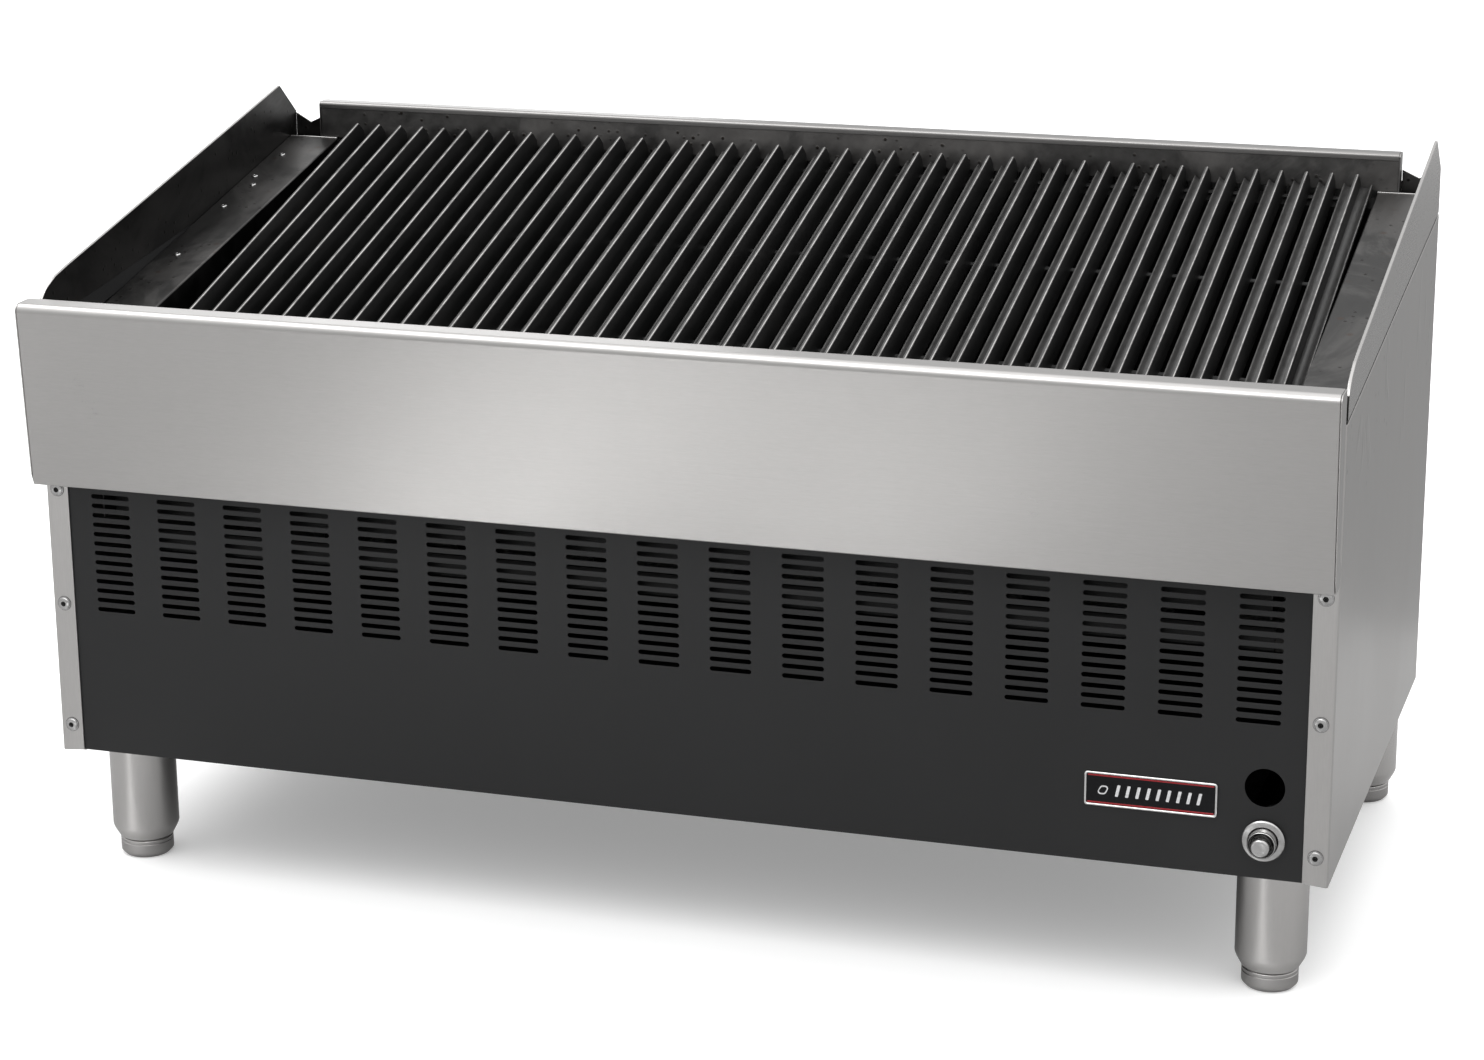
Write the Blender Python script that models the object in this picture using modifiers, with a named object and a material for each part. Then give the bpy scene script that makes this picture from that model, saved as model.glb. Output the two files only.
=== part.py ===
"""Forty-eight inch gas charbroiler for a counter top: sheet-metal body on four legs, sloping
cast-iron top grates between two side decks, radiants and burners underneath, louvred front panel
with a push-button igniter.

Frame: metres, +Z up, X from left to right, the front faces -Y.  The origin is the centre of the
bounding box in X and Y and the floor in Z.  Helper functions take body coordinates: y counted
back from the face of the front strips, z counted up from the underside of the body.
"""
import math

import bmesh
import bpy
from mathutils import Matrix, Vector

# ---------------------------------------------------------------- driving dimensions (metres)
BODY_WIDTH = 1.2192          # 48 in
BODY_DEPTH = 0.5842          # 23 in, strips to back panel
LEG_HEIGHT = 0.1185          # floor to underside of the body
RAIL_REACH = 0.0370          # front rail in front of the strips
INLET_REACH = 0.0400         # gas inlet behind the back panel
SHEET = 0.0015               # stainless sheet
GAP = 0.0003                 # play between pieces that touch

FLANGE = 0.0226              # side panel flanges, the front one is the visible strip
SEAM_FRONT = 0.4140          # top of the side panels at the front
SEAM_REAR = 0.4780           # and at the back

RAIL_BOTTOM = 0.2730
RAIL_TOP = 0.4480
RAIL_FOOT_REACH = 0.0260     # the rail face leans back towards its foot
LEDGE_BACK = -0.0090

SPLASH_PEAK_Y = 0.5450
SPLASH_PEAK_Z = 0.5580
SPLASH_REAR_Z = 0.5230

DECK_FRONT_Z = 0.3860
DECK_SLOPE = 0.2018
DECK_INNER = 0.5510
DECK_Y0 = 0.0038
DECK_Y1 = 0.5650
FIREBOX_FLOOR = 0.2380

BACK_RAIL_HALF = 0.5720
BACK_RAIL_FRONT = 0.5660
BACK_RAIL_BOTTOM = 0.5006
BACK_RAIL_TOP = 0.5380

GRATE_FRONT_Z = 0.3730       # blade tips at y = 0
GRATE_SLOPE = 0.2682
GRATE_Y0 = 0.0080
GRATE_Y1 = 0.5570
GRATE_TIP_Y = 0.5480
GRATE_COUNT = 11
BLADES_PER_GRATE = 4
BLADE_PITCH = 0.0245
BLADE_HEIGHT = 0.0270
BLADE_HALF = 0.0022
GUTTER_REACH = 0.0145
FIRST_BLADE_X = -0.5206

SLOT_COLUMNS = 17
SLOT_ROWS = 13
SLOT_PITCH_X = 0.0680
SLOT_PITCH_Z = 0.0093
SLOT_WIDTH = 0.0390
SLOT_HEIGHT = 0.0042
SLOT_TOP_Z = 0.2575
PANEL_Y = 0.0018
PANEL_TOP = 0.3000

SIGHT_HOLE = (0.5518, 0.0858, 0.0175)
IGNITER_X = 0.5525
IGNITER_Z = 0.0380
NAMEPLATE = (0.4525, 0.0702, 0.0590, 0.0160)

BURNER_COUNT = 8
BURNER_PITCH = 0.1350
BURNER_Z = 0.2120
BURNER_RADIUS = 0.0127
MANIFOLD_Y = 0.0300
MANIFOLD_RADIUS = 0.0134
SUPPLY_X = 0.5680
SUPPLY_RADIUS = 0.0120

LEG_X = (0.5540, 0.5660)
LEG_Y = (0.0550, 0.5460)
LEG_RADIUS = 0.0320
FOOT_RADIUS = 0.0254
FOOT_VISIBLE = 0.0190
SCREW_X = 0.5980
SCREW_Z = (0.0270, 0.1490, 0.2620)

Y_FRONT = -0.5 * (RAIL_REACH + BODY_DEPTH + INLET_REACH) + RAIL_REACH
Z_BODY = LEG_HEIGHT

AXES_YZ = Matrix(((0, 0, 1), (1, 0, 0), (0, 1, 0)))
AXES_XZ = Matrix(((1, 0, 0), (0, 0, -1), (0, 1, 0)))
AXES_XY = Matrix.Identity(3)


# ---------------------------------------------------------------- scene set-up
for old in list(bpy.data.objects):
    bpy.data.objects.remove(old, do_unlink=True)

parts = bpy.data.collections.new("charbroiler")
tools = bpy.data.collections.new("cutters")
bpy.context.scene.collection.children.link(parts)
bpy.context.scene.collection.children.link(tools)
tools.hide_render = True


def make_material(name, color, metallic, roughness):
    mat = bpy.data.materials.new(name)
    mat.use_nodes = True
    bsdf = mat.node_tree.nodes["Principled BSDF"]
    bsdf.inputs["Base Color"].default_value = (*color, 1.0)
    bsdf.inputs["Metallic"].default_value = metallic
    bsdf.inputs["Roughness"].default_value = roughness
    return mat


STEEL = make_material("stainless_sheet", (0.62, 0.60, 0.58), 1.0, 0.35)
DECK_STEEL = make_material("deck_sheet", (0.30, 0.29, 0.28), 1.0, 0.45)
BLACK = make_material("black_powder_coat", (0.03, 0.03, 0.032), 0.0, 0.55)
IRON = make_material("cast_iron", (0.03, 0.03, 0.03), 0.4, 0.60)
GALVANISED = make_material("aluminised_sheet", (0.45, 0.46, 0.47), 1.0, 0.50)
PIPE = make_material("black_pipe", (0.05, 0.05, 0.05), 0.6, 0.50)
CHROME = make_material("chrome_plate", (0.80, 0.80, 0.80), 1.0, 0.12)
PLASTIC = make_material("black_plastic", (0.02, 0.02, 0.02), 0.0, 0.45)


def body_point(x, y, z):
    """World position of a point given in body coordinates."""
    return Vector((x, Y_FRONT + y, Z_BODY + z))


def register(obj, mat, collection=parts):
    collection.objects.link(obj)
    obj.data.materials.clear()
    obj.data.materials.append(mat)
    return obj


def circle_points(cx, cy, radius, count):
    return [(cx + radius * math.cos(2 * math.pi * i / count),
             cy + radius * math.sin(2 * math.pi * i / count)) for i in range(count)]


def rectangle(cx, cy, half_x, half_y):
    return [(cx - half_x, cy - half_y), (cx + half_x, cy - half_y),
            (cx + half_x, cy + half_y), (cx - half_x, cy + half_y)]


def outline_curve(name, loops, depth, axes, offset):
    """Flat 2D curve filled on both sides; the first loop is the border, the others are holes."""
    curve = bpy.data.curves.new(name, 'CURVE')
    curve.dimensions = '2D'
    curve.fill_mode = 'BOTH'
    curve.extrude = depth / 2
    for loop in loops:
        spline = curve.splines.new('POLY')
        spline.points.add(len(loop) - 1)
        for point, (u, v) in zip(spline.points, loop):
            point.co = (u, v, 0.0, 1.0)
        spline.use_cyclic_u = True
    obj = bpy.data.objects.new(name, curve)
    obj.matrix_world = Matrix.Translation(offset) @ axes.to_4x4()
    return obj


def as_mesh(obj, name, origin):
    """Turn a curve or modified object into a plain mesh whose origin sits at the given point."""
    bpy.context.scene.collection.objects.link(obj)
    bpy.context.view_layer.update()
    graph = bpy.context.evaluated_depsgraph_get()
    mesh = bpy.data.meshes.new_from_object(obj.evaluated_get(graph))
    matrix = Matrix.Translation(-origin) @ obj.matrix_world
    bpy.data.objects.remove(obj, do_unlink=True)
    mesh.transform(matrix)
    clean = bmesh.new()
    clean.from_mesh(mesh)
    bmesh.ops.remove_doubles(clean, verts=clean.verts, dist=1e-6)
    bmesh.ops.recalc_face_normals(clean, faces=clean.faces)
    clean.to_mesh(mesh)
    clean.free()
    mesh.name = name
    solid = bpy.data.objects.new(name, mesh)
    solid.location = origin
    return solid


def sheet(name, loops, depth, axes, offset, origin=None):
    """Closed solid from a flat outline, as a mesh."""
    return as_mesh(outline_curve(name, loops, depth, axes, offset), name, origin or offset)


def side_profile(name, loops, x_low, x_high):
    """Outline in the y-z plane carried from x_low to x_high."""
    middle = body_point((x_low + x_high) / 2, 0.0, 0.0)
    return sheet(name, loops, x_high - x_low, AXES_YZ, middle)


def front_profile(name, loops, y_low, y_high):
    """Outline in the x-z plane carried from y_low to y_high."""
    middle = body_point(0.0, (y_low + y_high) / 2, 0.0)
    return sheet(name, loops, y_high - y_low, AXES_XZ, middle)


def turned(name, profile, axis_matrix, origin, steps):
    """Solid of revolution: closed profile of (radius, height) pairs turned by a Screw modifier."""
    mesh = bpy.data.meshes.new(name)
    ring = bmesh.new()
    verts = [ring.verts.new((r, 0.0, h)) for r, h in profile]
    closed = profile[0][0] > 0.0 and profile[-1][0] > 0.0
    for first, second in zip(verts, verts[1:]):
        ring.edges.new((first, second))
    if closed:
        ring.edges.new((verts[-1], verts[0]))
    ring.to_mesh(mesh)
    ring.free()
    obj = bpy.data.objects.new(name, mesh)
    obj.matrix_world = Matrix.Translation(origin) @ axis_matrix.to_4x4()
    screw = obj.modifiers.new("turn", 'SCREW')
    screw.axis = 'Z'
    screw.steps = steps
    screw.render_steps = steps
    screw.use_merge_vertices = True
    screw.merge_threshold = 0.00001
    return as_mesh(obj, name, origin)


def boolean(target, tool, operation):
    """Boolean with a helper solid that stays hidden in its own collection."""
    tools.objects.link(tool)
    tool.hide_render = True
    tool.display_type = 'WIRE'
    modifier = target.modifiers.new(operation.lower(), 'BOOLEAN')
    modifier.operation = operation
    modifier.object = tool
    return target


def boxes(name, spans):
    """Mesh of separate boxes given as (x0, x1, y0, y1, z0, z1) in body coordinates."""
    mesh = bpy.data.meshes.new(name)
    work = bmesh.new()
    for x0, x1, y0, y1, z0, z1 in spans:
        centre = body_point((x0 + x1) / 2, (y0 + y1) / 2, (z0 + z1) / 2)
        scale = Matrix.Diagonal((x1 - x0, y1 - y0, z1 - z0, 1.0))
        bmesh.ops.create_cube(work, size=1.0, matrix=Matrix.Translation(centre) @ scale)
    work.to_mesh(mesh)
    work.free()
    return bpy.data.objects.new(name, mesh)


def rods(name, spans, radius, segments, turn=Matrix.Identity(4)):
    """Mesh of separate rods along local Z, given as (centre, length)."""
    mesh = bpy.data.meshes.new(name)
    work = bmesh.new()
    for centre, length in spans:
        bmesh.ops.create_cone(work, cap_ends=True, segments=segments, radius1=radius,
                              radius2=radius, depth=length, matrix=Matrix.Translation(centre) @ turn)
    work.to_mesh(mesh)
    work.free()
    return bpy.data.objects.new(name, mesh)


def smooth_round(obj, angle=0.6):
    """Smooth shading that leaves sharp edges where faces meet steeply."""
    work = bmesh.new()
    work.from_mesh(obj.data)
    for face in work.faces:
        face.smooth = True
    for edge in work.edges:
        if len(edge.link_faces) == 2 and edge.calc_face_angle(0.0) > angle:
            edge.smooth = False
    work.to_mesh(obj.data)
    work.free()
    return obj


def deck_z(y):
    return DECK_FRONT_Z + DECK_SLOPE * y


def grate_top(y):
    return GRATE_FRONT_Z + GRATE_SLOPE * y


TURN_TO_FRONT = Matrix.Rotation(math.radians(90), 3, 'X')   # local +Z points to the front
TURN_TO_BACK = Matrix.Rotation(math.radians(-90), 3, 'X')   # local +Z points to the back
HALF = BODY_WIDTH / 2


# ---------------------------------------------------------------- side panels and splashes
def side_panel(name, sign):
    """Outer plate with front, bottom and rear flanges; the strip screws are fused to it."""
    border = [(0.0, 0.0), (BODY_DEPTH, 0.0), (BODY_DEPTH, SEAM_REAR), (0.0, SEAM_FRONT)]
    inside = [(SHEET, SHEET), (BODY_DEPTH - SHEET, SHEET),
              (BODY_DEPTH - SHEET, SEAM_REAR + 0.03), (SHEET, SEAM_FRONT + 0.03)]
    low, high = sorted((sign * (HALF - FLANGE), sign * HALF))
    panel = side_profile(name, [border], low, high)
    low, high = sorted((sign * (HALF - FLANGE - 0.01), sign * (HALF - SHEET)))
    boolean(panel, side_profile(name + "_inside", [inside], low, high), 'DIFFERENCE')
    heads = rods(name + "_screws", [(body_point(sign * SCREW_X, -0.0009, z), 0.0034)
                                    for z in SCREW_Z], 0.0070, 12, TURN_TO_FRONT.to_4x4())
    boolean(panel, heads, 'UNION')
    return register(panel, STEEL)


def splash(name, sign):
    """Upright side guard: front corner cut back, top rising to a peak, rear flange turned in."""
    border = [(0.0030, SEAM_FRONT - 0.0140), (0.0030, 0.4330), (0.0075, 0.4430), (0.0200, 0.4510),
              (0.0640, 0.4620), (SPLASH_PEAK_Y - 0.004, SPLASH_PEAK_Z - 0.0008),
              (SPLASH_PEAK_Y + 0.002, SPLASH_PEAK_Z - 0.0012),
              (BODY_DEPTH - SHEET - GAP, SPLASH_REAR_Z),
              (BODY_DEPTH - SHEET - GAP, SEAM_REAR - 0.0150)]
    outer = HALF - SHEET - GAP
    low, high = sorted((sign * (outer - SHEET), sign * outer))
    guard = side_profile(name, [border], low, high)
    flange = [(sign * (outer - 0.0005), SEAM_REAR - 0.0150), (sign * (outer - 0.0005), SPLASH_REAR_Z),
              (sign * (outer - 0.0180), SPLASH_REAR_Z - 0.0170), (sign * (outer - 0.0180), SEAM_REAR - 0.0150)]
    boolean(guard, front_profile(name + "_flange", [flange], BODY_DEPTH - 2 * SHEET - GAP,
                                 BODY_DEPTH - SHEET - GAP), 'UNION')
    return register(guard, STEEL)


side_panel("side_panel_left", -1)
side_panel("side_panel_right", 1)
splash("splash_left", -1)
splash("splash_right", 1)


# ---------------------------------------------------------------- front rail and back rail
def hollow_rail(name, border, inside, half_length):
    rail = side_profile(name, [border], -half_length, half_length)
    core = side_profile(name + "_inside", [inside], -half_length + SHEET, half_length - SHEET)
    boolean(rail, core, 'DIFFERENCE')
    return register(rail, STEEL)


hollow_rail(
    "front_rail",
    [(LEDGE_BACK, RAIL_TOP), (-0.0320, RAIL_TOP), (-0.0350, RAIL_TOP - 0.0012),
     (-RAIL_REACH, RAIL_TOP - 0.0048), (-RAIL_FOOT_REACH, RAIL_BOTTOM), (-0.0004, RAIL_BOTTOM),
     (-0.0004, 0.2930), (LEDGE_BACK, 0.3000)],
    [(LEDGE_BACK - SHEET, RAIL_TOP - SHEET), (-0.0316, RAIL_TOP - SHEET),
     (-0.0342, RAIL_TOP - 0.0024), (-RAIL_REACH + SHEET, RAIL_TOP - 0.0055),
     (-RAIL_FOOT_REACH + SHEET, RAIL_BOTTOM - 0.0030), (-0.0019, RAIL_BOTTOM - 0.0030),
     (-0.0019, 0.2920), (LEDGE_BACK - SHEET, 0.2990)],
    HALF)

rail_back = BODY_DEPTH - SHEET - GAP
hollow_rail(
    "back_rail",
    [(BACK_RAIL_FRONT, BACK_RAIL_BOTTOM), (rail_back, BACK_RAIL_BOTTOM), (rail_back, BACK_RAIL_TOP),
     (BACK_RAIL_FRONT + 0.0035, BACK_RAIL_TOP), (BACK_RAIL_FRONT + 0.0010, BACK_RAIL_TOP - 0.0012),
     (BACK_RAIL_FRONT, BACK_RAIL_TOP - 0.0040)],
    [(BACK_RAIL_FRONT + SHEET, BACK_RAIL_BOTTOM - 0.0030),
     (rail_back - SHEET, BACK_RAIL_BOTTOM - 0.0030), (rail_back - SHEET, BACK_RAIL_TOP - SHEET),
     (BACK_RAIL_FRONT + 0.0040, BACK_RAIL_TOP - SHEET),
     (BACK_RAIL_FRONT + SHEET, BACK_RAIL_TOP - 0.0045)],
    BACK_RAIL_HALF)


# ---------------------------------------------------------------- flat panels of the body
def louvre_panel():
    """Front panel with its grid of slots, the sight hole and the igniter hole."""
    border = rectangle(0.0, (SHEET + GAP + PANEL_TOP) / 2, 0.6040, (PANEL_TOP - SHEET - GAP) / 2)
    loops = [border]
    for column in range(SLOT_COLUMNS):
        x = (column - (SLOT_COLUMNS - 1) / 2) * SLOT_PITCH_X
        for row in range(SLOT_ROWS):
            z = SLOT_TOP_Z - row * SLOT_PITCH_Z
            loops.append(rectangle(x, z, SLOT_WIDTH / 2, SLOT_HEIGHT / 2))
    loops.append(circle_points(*SIGHT_HOLE, 20))
    loops.append(circle_points(IGNITER_X, IGNITER_Z, 0.0138, 16))
    return register(front_profile("louvre_panel", loops, PANEL_Y, PANEL_Y + SHEET), BLACK)


louvre_panel()

back_half = HALF - FLANGE - GAP
back_border = [(-back_half, 0.0), (back_half, 0.0), (back_half, 0.5030), (0.5760, 0.5090),
               (-0.5760, 0.5090), (-back_half, 0.5030)]
register(front_profile("back_panel", [back_border, circle_points(SUPPLY_X, BURNER_Z, 0.0160, 16)],
                       BODY_DEPTH - SHEET, BODY_DEPTH), GALVANISED)

base_z = SHEET + GAP
base_front = PANEL_Y + SHEET + GAP
base_rear = BODY_DEPTH - SHEET - GAP
register(side_profile("base_pan", [[
    (base_front, base_z), (base_rear, base_z), (base_rear, base_z + 0.0180),
    (base_rear - SHEET, base_z + 0.0180), (base_rear - SHEET, base_z + SHEET),
    (base_front + SHEET, base_z + SHEET), (base_front + SHEET, base_z + 0.0150),
    (base_front, base_z + 0.0150)]], -0.6075, 0.6075), GALVANISED)

pan = boxes("drip_pan", [(-0.5300, 0.5300, 0.0700, 0.5200, 0.0036, 0.0400)])
boolean(pan, boxes("drip_pan_inside", [(-0.5288, 0.5288, 0.0712, 0.5188, 0.0048, 0.0500)]),
        'DIFFERENCE')
register(pan, GALVANISED)

plate_x, plate_z, plate_half_x, plate_half_z = NAMEPLATE
corner = 0.0030
register(front_profile("nameplate", [[
    (plate_x - plate_half_x + corner, plate_z - plate_half_z),
    (plate_x + plate_half_x - corner, plate_z - plate_half_z),
    (plate_x + plate_half_x, plate_z - plate_half_z + corner),
    (plate_x + plate_half_x, plate_z + plate_half_z - corner),
    (plate_x + plate_half_x - corner, plate_z + plate_half_z),
    (plate_x - plate_half_x + corner, plate_z + plate_half_z),
    (plate_x - plate_half_x, plate_z + plate_half_z - corner),
    (plate_x - plate_half_x, plate_z - plate_half_z + corner)]],
    0.0001, PANEL_Y - GAP), CHROME)


# ---------------------------------------------------------------- decks and firebox
def deck(name, sign):
    """Sloping strip beside the grates, folded down into the side wall of the firebox."""
    block = [(DECK_Y0, FIREBOX_FLOOR), (DECK_Y1, FIREBOX_FLOOR),
             (DECK_Y1, deck_z(DECK_Y1)), (DECK_Y0, deck_z(DECK_Y0))]
    below = [(DECK_Y0 - 0.01, FIREBOX_FLOOR - 0.01), (DECK_Y1 + 0.01, FIREBOX_FLOOR - 0.01),
             (DECK_Y1 + 0.01, deck_z(DECK_Y1 + 0.01) - SHEET),
             (DECK_Y0 - 0.01, deck_z(DECK_Y0 - 0.01) - SHEET)]
    outer = HALF - 2 * SHEET - 2 * GAP
    low, high = sorted((sign * DECK_INNER, sign * outer))
    strip = side_profile(name, [block], low, high)
    low, high = sorted((sign * (DECK_INNER + SHEET), sign * (outer + 0.01)))
    boolean(strip, side_profile(name + "_below", [below], low, high), 'DIFFERENCE')
    return register(strip, DECK_STEEL)


deck("deck_left", -1)
deck("deck_right", 1)


def rest_z(y):
    """Height of the sloping flanges the grates lie on."""
    return grate_top(y) - BLADE_HEIGHT / math.cos(math.atan(GRATE_SLOPE)) - GAP


rest = 0.0020
firebox_half = DECK_INNER - GAP
ledge_top = FIREBOX_FLOOR + rest
register(side_profile("firebox_front", [[
    (0.0050, rest_z(0.0050)), (0.0270, rest_z(0.0270)), (0.0270, ledge_top), (0.0470, ledge_top),
    (0.0470, FIREBOX_FLOOR), (0.0250, FIREBOX_FLOOR), (0.0250, rest_z(0.0250) - rest),
    (0.0050, rest_z(0.0050) - rest)]], -firebox_half, firebox_half), GALVANISED)
register(side_profile("firebox_rear", [[
    (0.5600, rest_z(0.5600)), (0.5370, rest_z(0.5370)), (0.5370, ledge_top), (0.5170, ledge_top),
    (0.5170, FIREBOX_FLOOR), (0.5390, FIREBOX_FLOOR), (0.5390, rest_z(0.5390) - rest),
    (0.5600, rest_z(0.5600) - rest)]], -firebox_half, firebox_half), GALVANISED)


# ---------------------------------------------------------------- top grates
def grate_mesh():
    """One casting: four tall blades, each with a grease gutter on its left, tied by cross bars.

    Built level with the first blade's tip line on the local Y axis, z = 0 at the tips.
    """
    slope = math.atan(GRATE_SLOPE)
    length = (GRATE_Y1 - GRATE_Y0) / math.cos(slope)
    blade = [(BLADE_HALF, 0.0), (-BLADE_HALF, 0.0), (-BLADE_HALF, -0.0170), (-0.0130, -0.0150),
             (-GUTTER_REACH, -0.0200), (-BLADE_HALF, -0.0230), (-BLADE_HALF, -BLADE_HEIGHT),
             (BLADE_HALF, -BLADE_HEIGHT)]
    loops = [[(index * BLADE_PITCH + u, v) for u, v in blade]
             for index in range(BLADES_PER_GRATE)]
    blades = outline_curve("grate_blades", loops, length, AXES_XZ, Vector((0.0, length / 2, 0.0)))
    casting = as_mesh(blades, "grate_blank", Vector((0.0, 0.0, 0.0)))

    ties = bmesh.new()
    last = (BLADES_PER_GRATE - 1) * BLADE_PITCH + BLADE_HALF
    left = -GUTTER_REACH + 0.0015
    for start in (0.0010, 0.18, 0.37, length - 0.0210):
        centre = Vector(((left + last - 0.0010) / 2, start + 0.0100, -BLADE_HEIGHT + 0.0030))
        scale = Matrix.Diagonal((last - 0.0010 - left, 0.0160, 0.0050, 1.0))
        bmesh.ops.create_cube(ties, size=1.0, matrix=Matrix.Translation(centre) @ scale)
    tie_mesh = bpy.data.meshes.new("grate_ties")
    ties.to_mesh(tie_mesh)
    ties.free()
    boolean(casting, bpy.data.objects.new("grate_ties", tie_mesh), 'UNION')

    drop = (GRATE_Y1 - GRATE_TIP_Y) / math.cos(slope)
    wedge = outline_curve("grate_heel_curve", [[(length - drop, 0.0), (length + 0.01, -0.0130 * 2),
                                                (length + 0.01, 0.01), (length - drop, 0.01)]],
                          0.40, AXES_YZ, Vector((0.0, 0.0, 0.0)))
    boolean(casting, as_mesh(wedge, "grate_heel", Vector((0.0, 0.0, 0.0))), 'DIFFERENCE')
    bpy.context.scene.collection.objects.link(casting)
    bpy.context.view_layer.update()
    graph = bpy.context.evaluated_depsgraph_get()
    result = bpy.data.meshes.new_from_object(casting.evaluated_get(graph))
    bpy.data.objects.remove(casting, do_unlink=True)
    result.name = "grate_casting"
    return result


shared_grate = grate_mesh()
for number in range(GRATE_COUNT):
    piece = bpy.data.objects.new("grate_%02d" % (number + 1), shared_grate)
    piece.location = body_point(FIRST_BLADE_X + number * BLADES_PER_GRATE * BLADE_PITCH,
                                GRATE_Y0, grate_top(GRATE_Y0))
    piece.rotation_euler = (math.atan(GRATE_SLOPE), 0.0, 0.0)
    if not shared_grate.materials:
        shared_grate.materials.append(IRON)
    parts.objects.link(piece)


# ---------------------------------------------------------------- radiants, burners, gas line
def burner_x(index):
    return (index - (BURNER_COUNT - 1) / 2) * BURNER_PITCH


radiant_outline = [(-0.0560, 0.0), (-0.0545, 0.0), (-0.0060, 0.0480), (0.0060, 0.0480),
                   (0.0545, 0.0), (0.0560, 0.0), (0.0068, 0.0500), (-0.0068, 0.0500)]
for number in range(BURNER_COUNT):
    centre = body_point(burner_x(number), 0.2820, ledge_top + GAP)
    radiant = sheet("radiant_%d" % (number + 1), [radiant_outline], 0.5060, AXES_XZ, centre)
    register(radiant, IRON)

for number in range(BURNER_COUNT):
    start = body_point(burner_x(number), 0.0620, BURNER_Z)
    tube = turned("burner_%d" % (number + 1), [(0.0, 0.4580), (BURNER_RADIUS, 0.4560),
                                               (BURNER_RADIUS, 0.0320), (0.0190, 0.0),
                                               (0.0170, 0.0), (0.0107, 0.0320),
                                               (0.0107, 0.4540), (0.0, 0.4540)],
                  TURN_TO_BACK, start, 12)
    register(smooth_round(tube), IRON)

burner_rest_z = BURNER_Z - BURNER_RADIUS - GAP
register(side_profile("burner_rest", [[
    (0.4700, burner_rest_z), (0.5000, burner_rest_z), (0.5000, burner_rest_z - 0.0300),
    (0.4985, burner_rest_z - 0.0300), (0.4985, burner_rest_z - SHEET),
    (0.4700, burner_rest_z - SHEET)]], -0.6055, 0.6055), GALVANISED)

manifold_low = -0.5200
manifold_high = SUPPLY_X - 0.0150
pipe = rods("gas_manifold", [(body_point((manifold_low + manifold_high) / 2, MANIFOLD_Y, BURNER_Z),
                              manifold_high - manifold_low)],
            MANIFOLD_RADIUS, 12, Matrix.Rotation(math.radians(90), 4, 'Y'))
spuds = rods("manifold_spuds", [(body_point(burner_x(i), MANIFOLD_Y + 0.0190, BURNER_Z), 0.0200)
                                for i in range(BURNER_COUNT)], 0.0065, 8,
             TURN_TO_FRONT.to_4x4())
boolean(pipe, spuds, 'UNION')
bore = rods("manifold_bore", [(body_point((manifold_low + manifold_high) / 2 + 0.0100, MANIFOLD_Y,
                                          BURNER_Z), manifold_high - manifold_low + 0.0080)],
            0.0100, 12, Matrix.Rotation(math.radians(90), 4, 'Y'))
boolean(pipe, bore, 'DIFFERENCE')
register(pipe, PIPE)


def tube_along(name, points, radius):
    """Round tube following straight runs, with closed ends."""
    curve = bpy.data.curves.new(name, 'CURVE')
    curve.dimensions = '3D'
    curve.bevel_depth = radius
    curve.bevel_resolution = 2
    curve.use_fill_caps = True
    spline = curve.splines.new('POLY')
    spline.points.add(len(points) - 1)
    for point, position in zip(spline.points, points):
        point.co = (*(position - points[0]), 1.0)
    obj = bpy.data.objects.new(name, curve)
    obj.location = points[0]
    return as_mesh(obj, name, points[0])


supply = tube_along("supply_pipe", [
    body_point(manifold_high + GAP, MANIFOLD_Y, BURNER_Z),
    body_point(SUPPLY_X - 0.0060, MANIFOLD_Y, BURNER_Z),
    body_point(SUPPLY_X, MANIFOLD_Y + 0.0060, BURNER_Z),
    body_point(SUPPLY_X, BODY_DEPTH + INLET_REACH - 0.0150, BURNER_Z)], SUPPLY_RADIUS)
collar = rods("inlet_collar", [(body_point(SUPPLY_X, BODY_DEPTH + INLET_REACH - 0.0125, BURNER_Z),
                                0.0250)], 0.0185, 6, TURN_TO_FRONT.to_4x4())
boolean(supply, collar, 'UNION')
inlet_bore = rods("inlet_bore", [(body_point(SUPPLY_X, BODY_DEPTH + INLET_REACH, BURNER_Z),
                                  0.0300)], 0.0110, 12, TURN_TO_FRONT.to_4x4())
boolean(supply, inlet_bore, 'DIFFERENCE')
register(supply, PIPE)

pilot = tube_along("pilot_tube", [
    body_point(-0.5050, 0.1000, BURNER_Z - 0.0200),
    body_point(0.5350, 0.1000, BURNER_Z - 0.0200),
    body_point(0.5350, 0.0500, BURNER_Z - 0.0200)], 0.0032)
register(pilot, GALVANISED)


# ---------------------------------------------------------------- igniter
panel_front = body_point(IGNITER_X, PANEL_Y - GAP, IGNITER_Z)
bezel = turned("igniter_bezel", [(0.0138, 0.0), (0.0190, 0.0), (0.0190, 0.0030), (0.0178, 0.0046),
                                 (0.0152, 0.0054), (0.0138, 0.0050)],
               TURN_TO_FRONT, panel_front, 24)
register(smooth_round(bezel), CHROME)

sleeve_base = body_point(IGNITER_X, 0.0280, IGNITER_Z)
sleeve = turned("igniter_sleeve", [(0.0, 0.0), (0.0134, 0.0), (0.0134, 0.0400), (0.0124, 0.0410),
                                   (0.0106, 0.0410), (0.0094, 0.0395), (0.0094, 0.0040),
                                   (0.0, 0.0040)], TURN_TO_FRONT, sleeve_base, 24)
register(smooth_round(sleeve), CHROME)

button_base = body_point(IGNITER_X, 0.0080, IGNITER_Z)
button = turned("igniter_button", [(0.0, 0.0), (0.0090, 0.0), (0.0090, 0.0275), (0.0080, 0.0290),
                                   (0.0, 0.0290)], TURN_TO_FRONT, button_base, 20)
register(smooth_round(button), CHROME)

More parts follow.
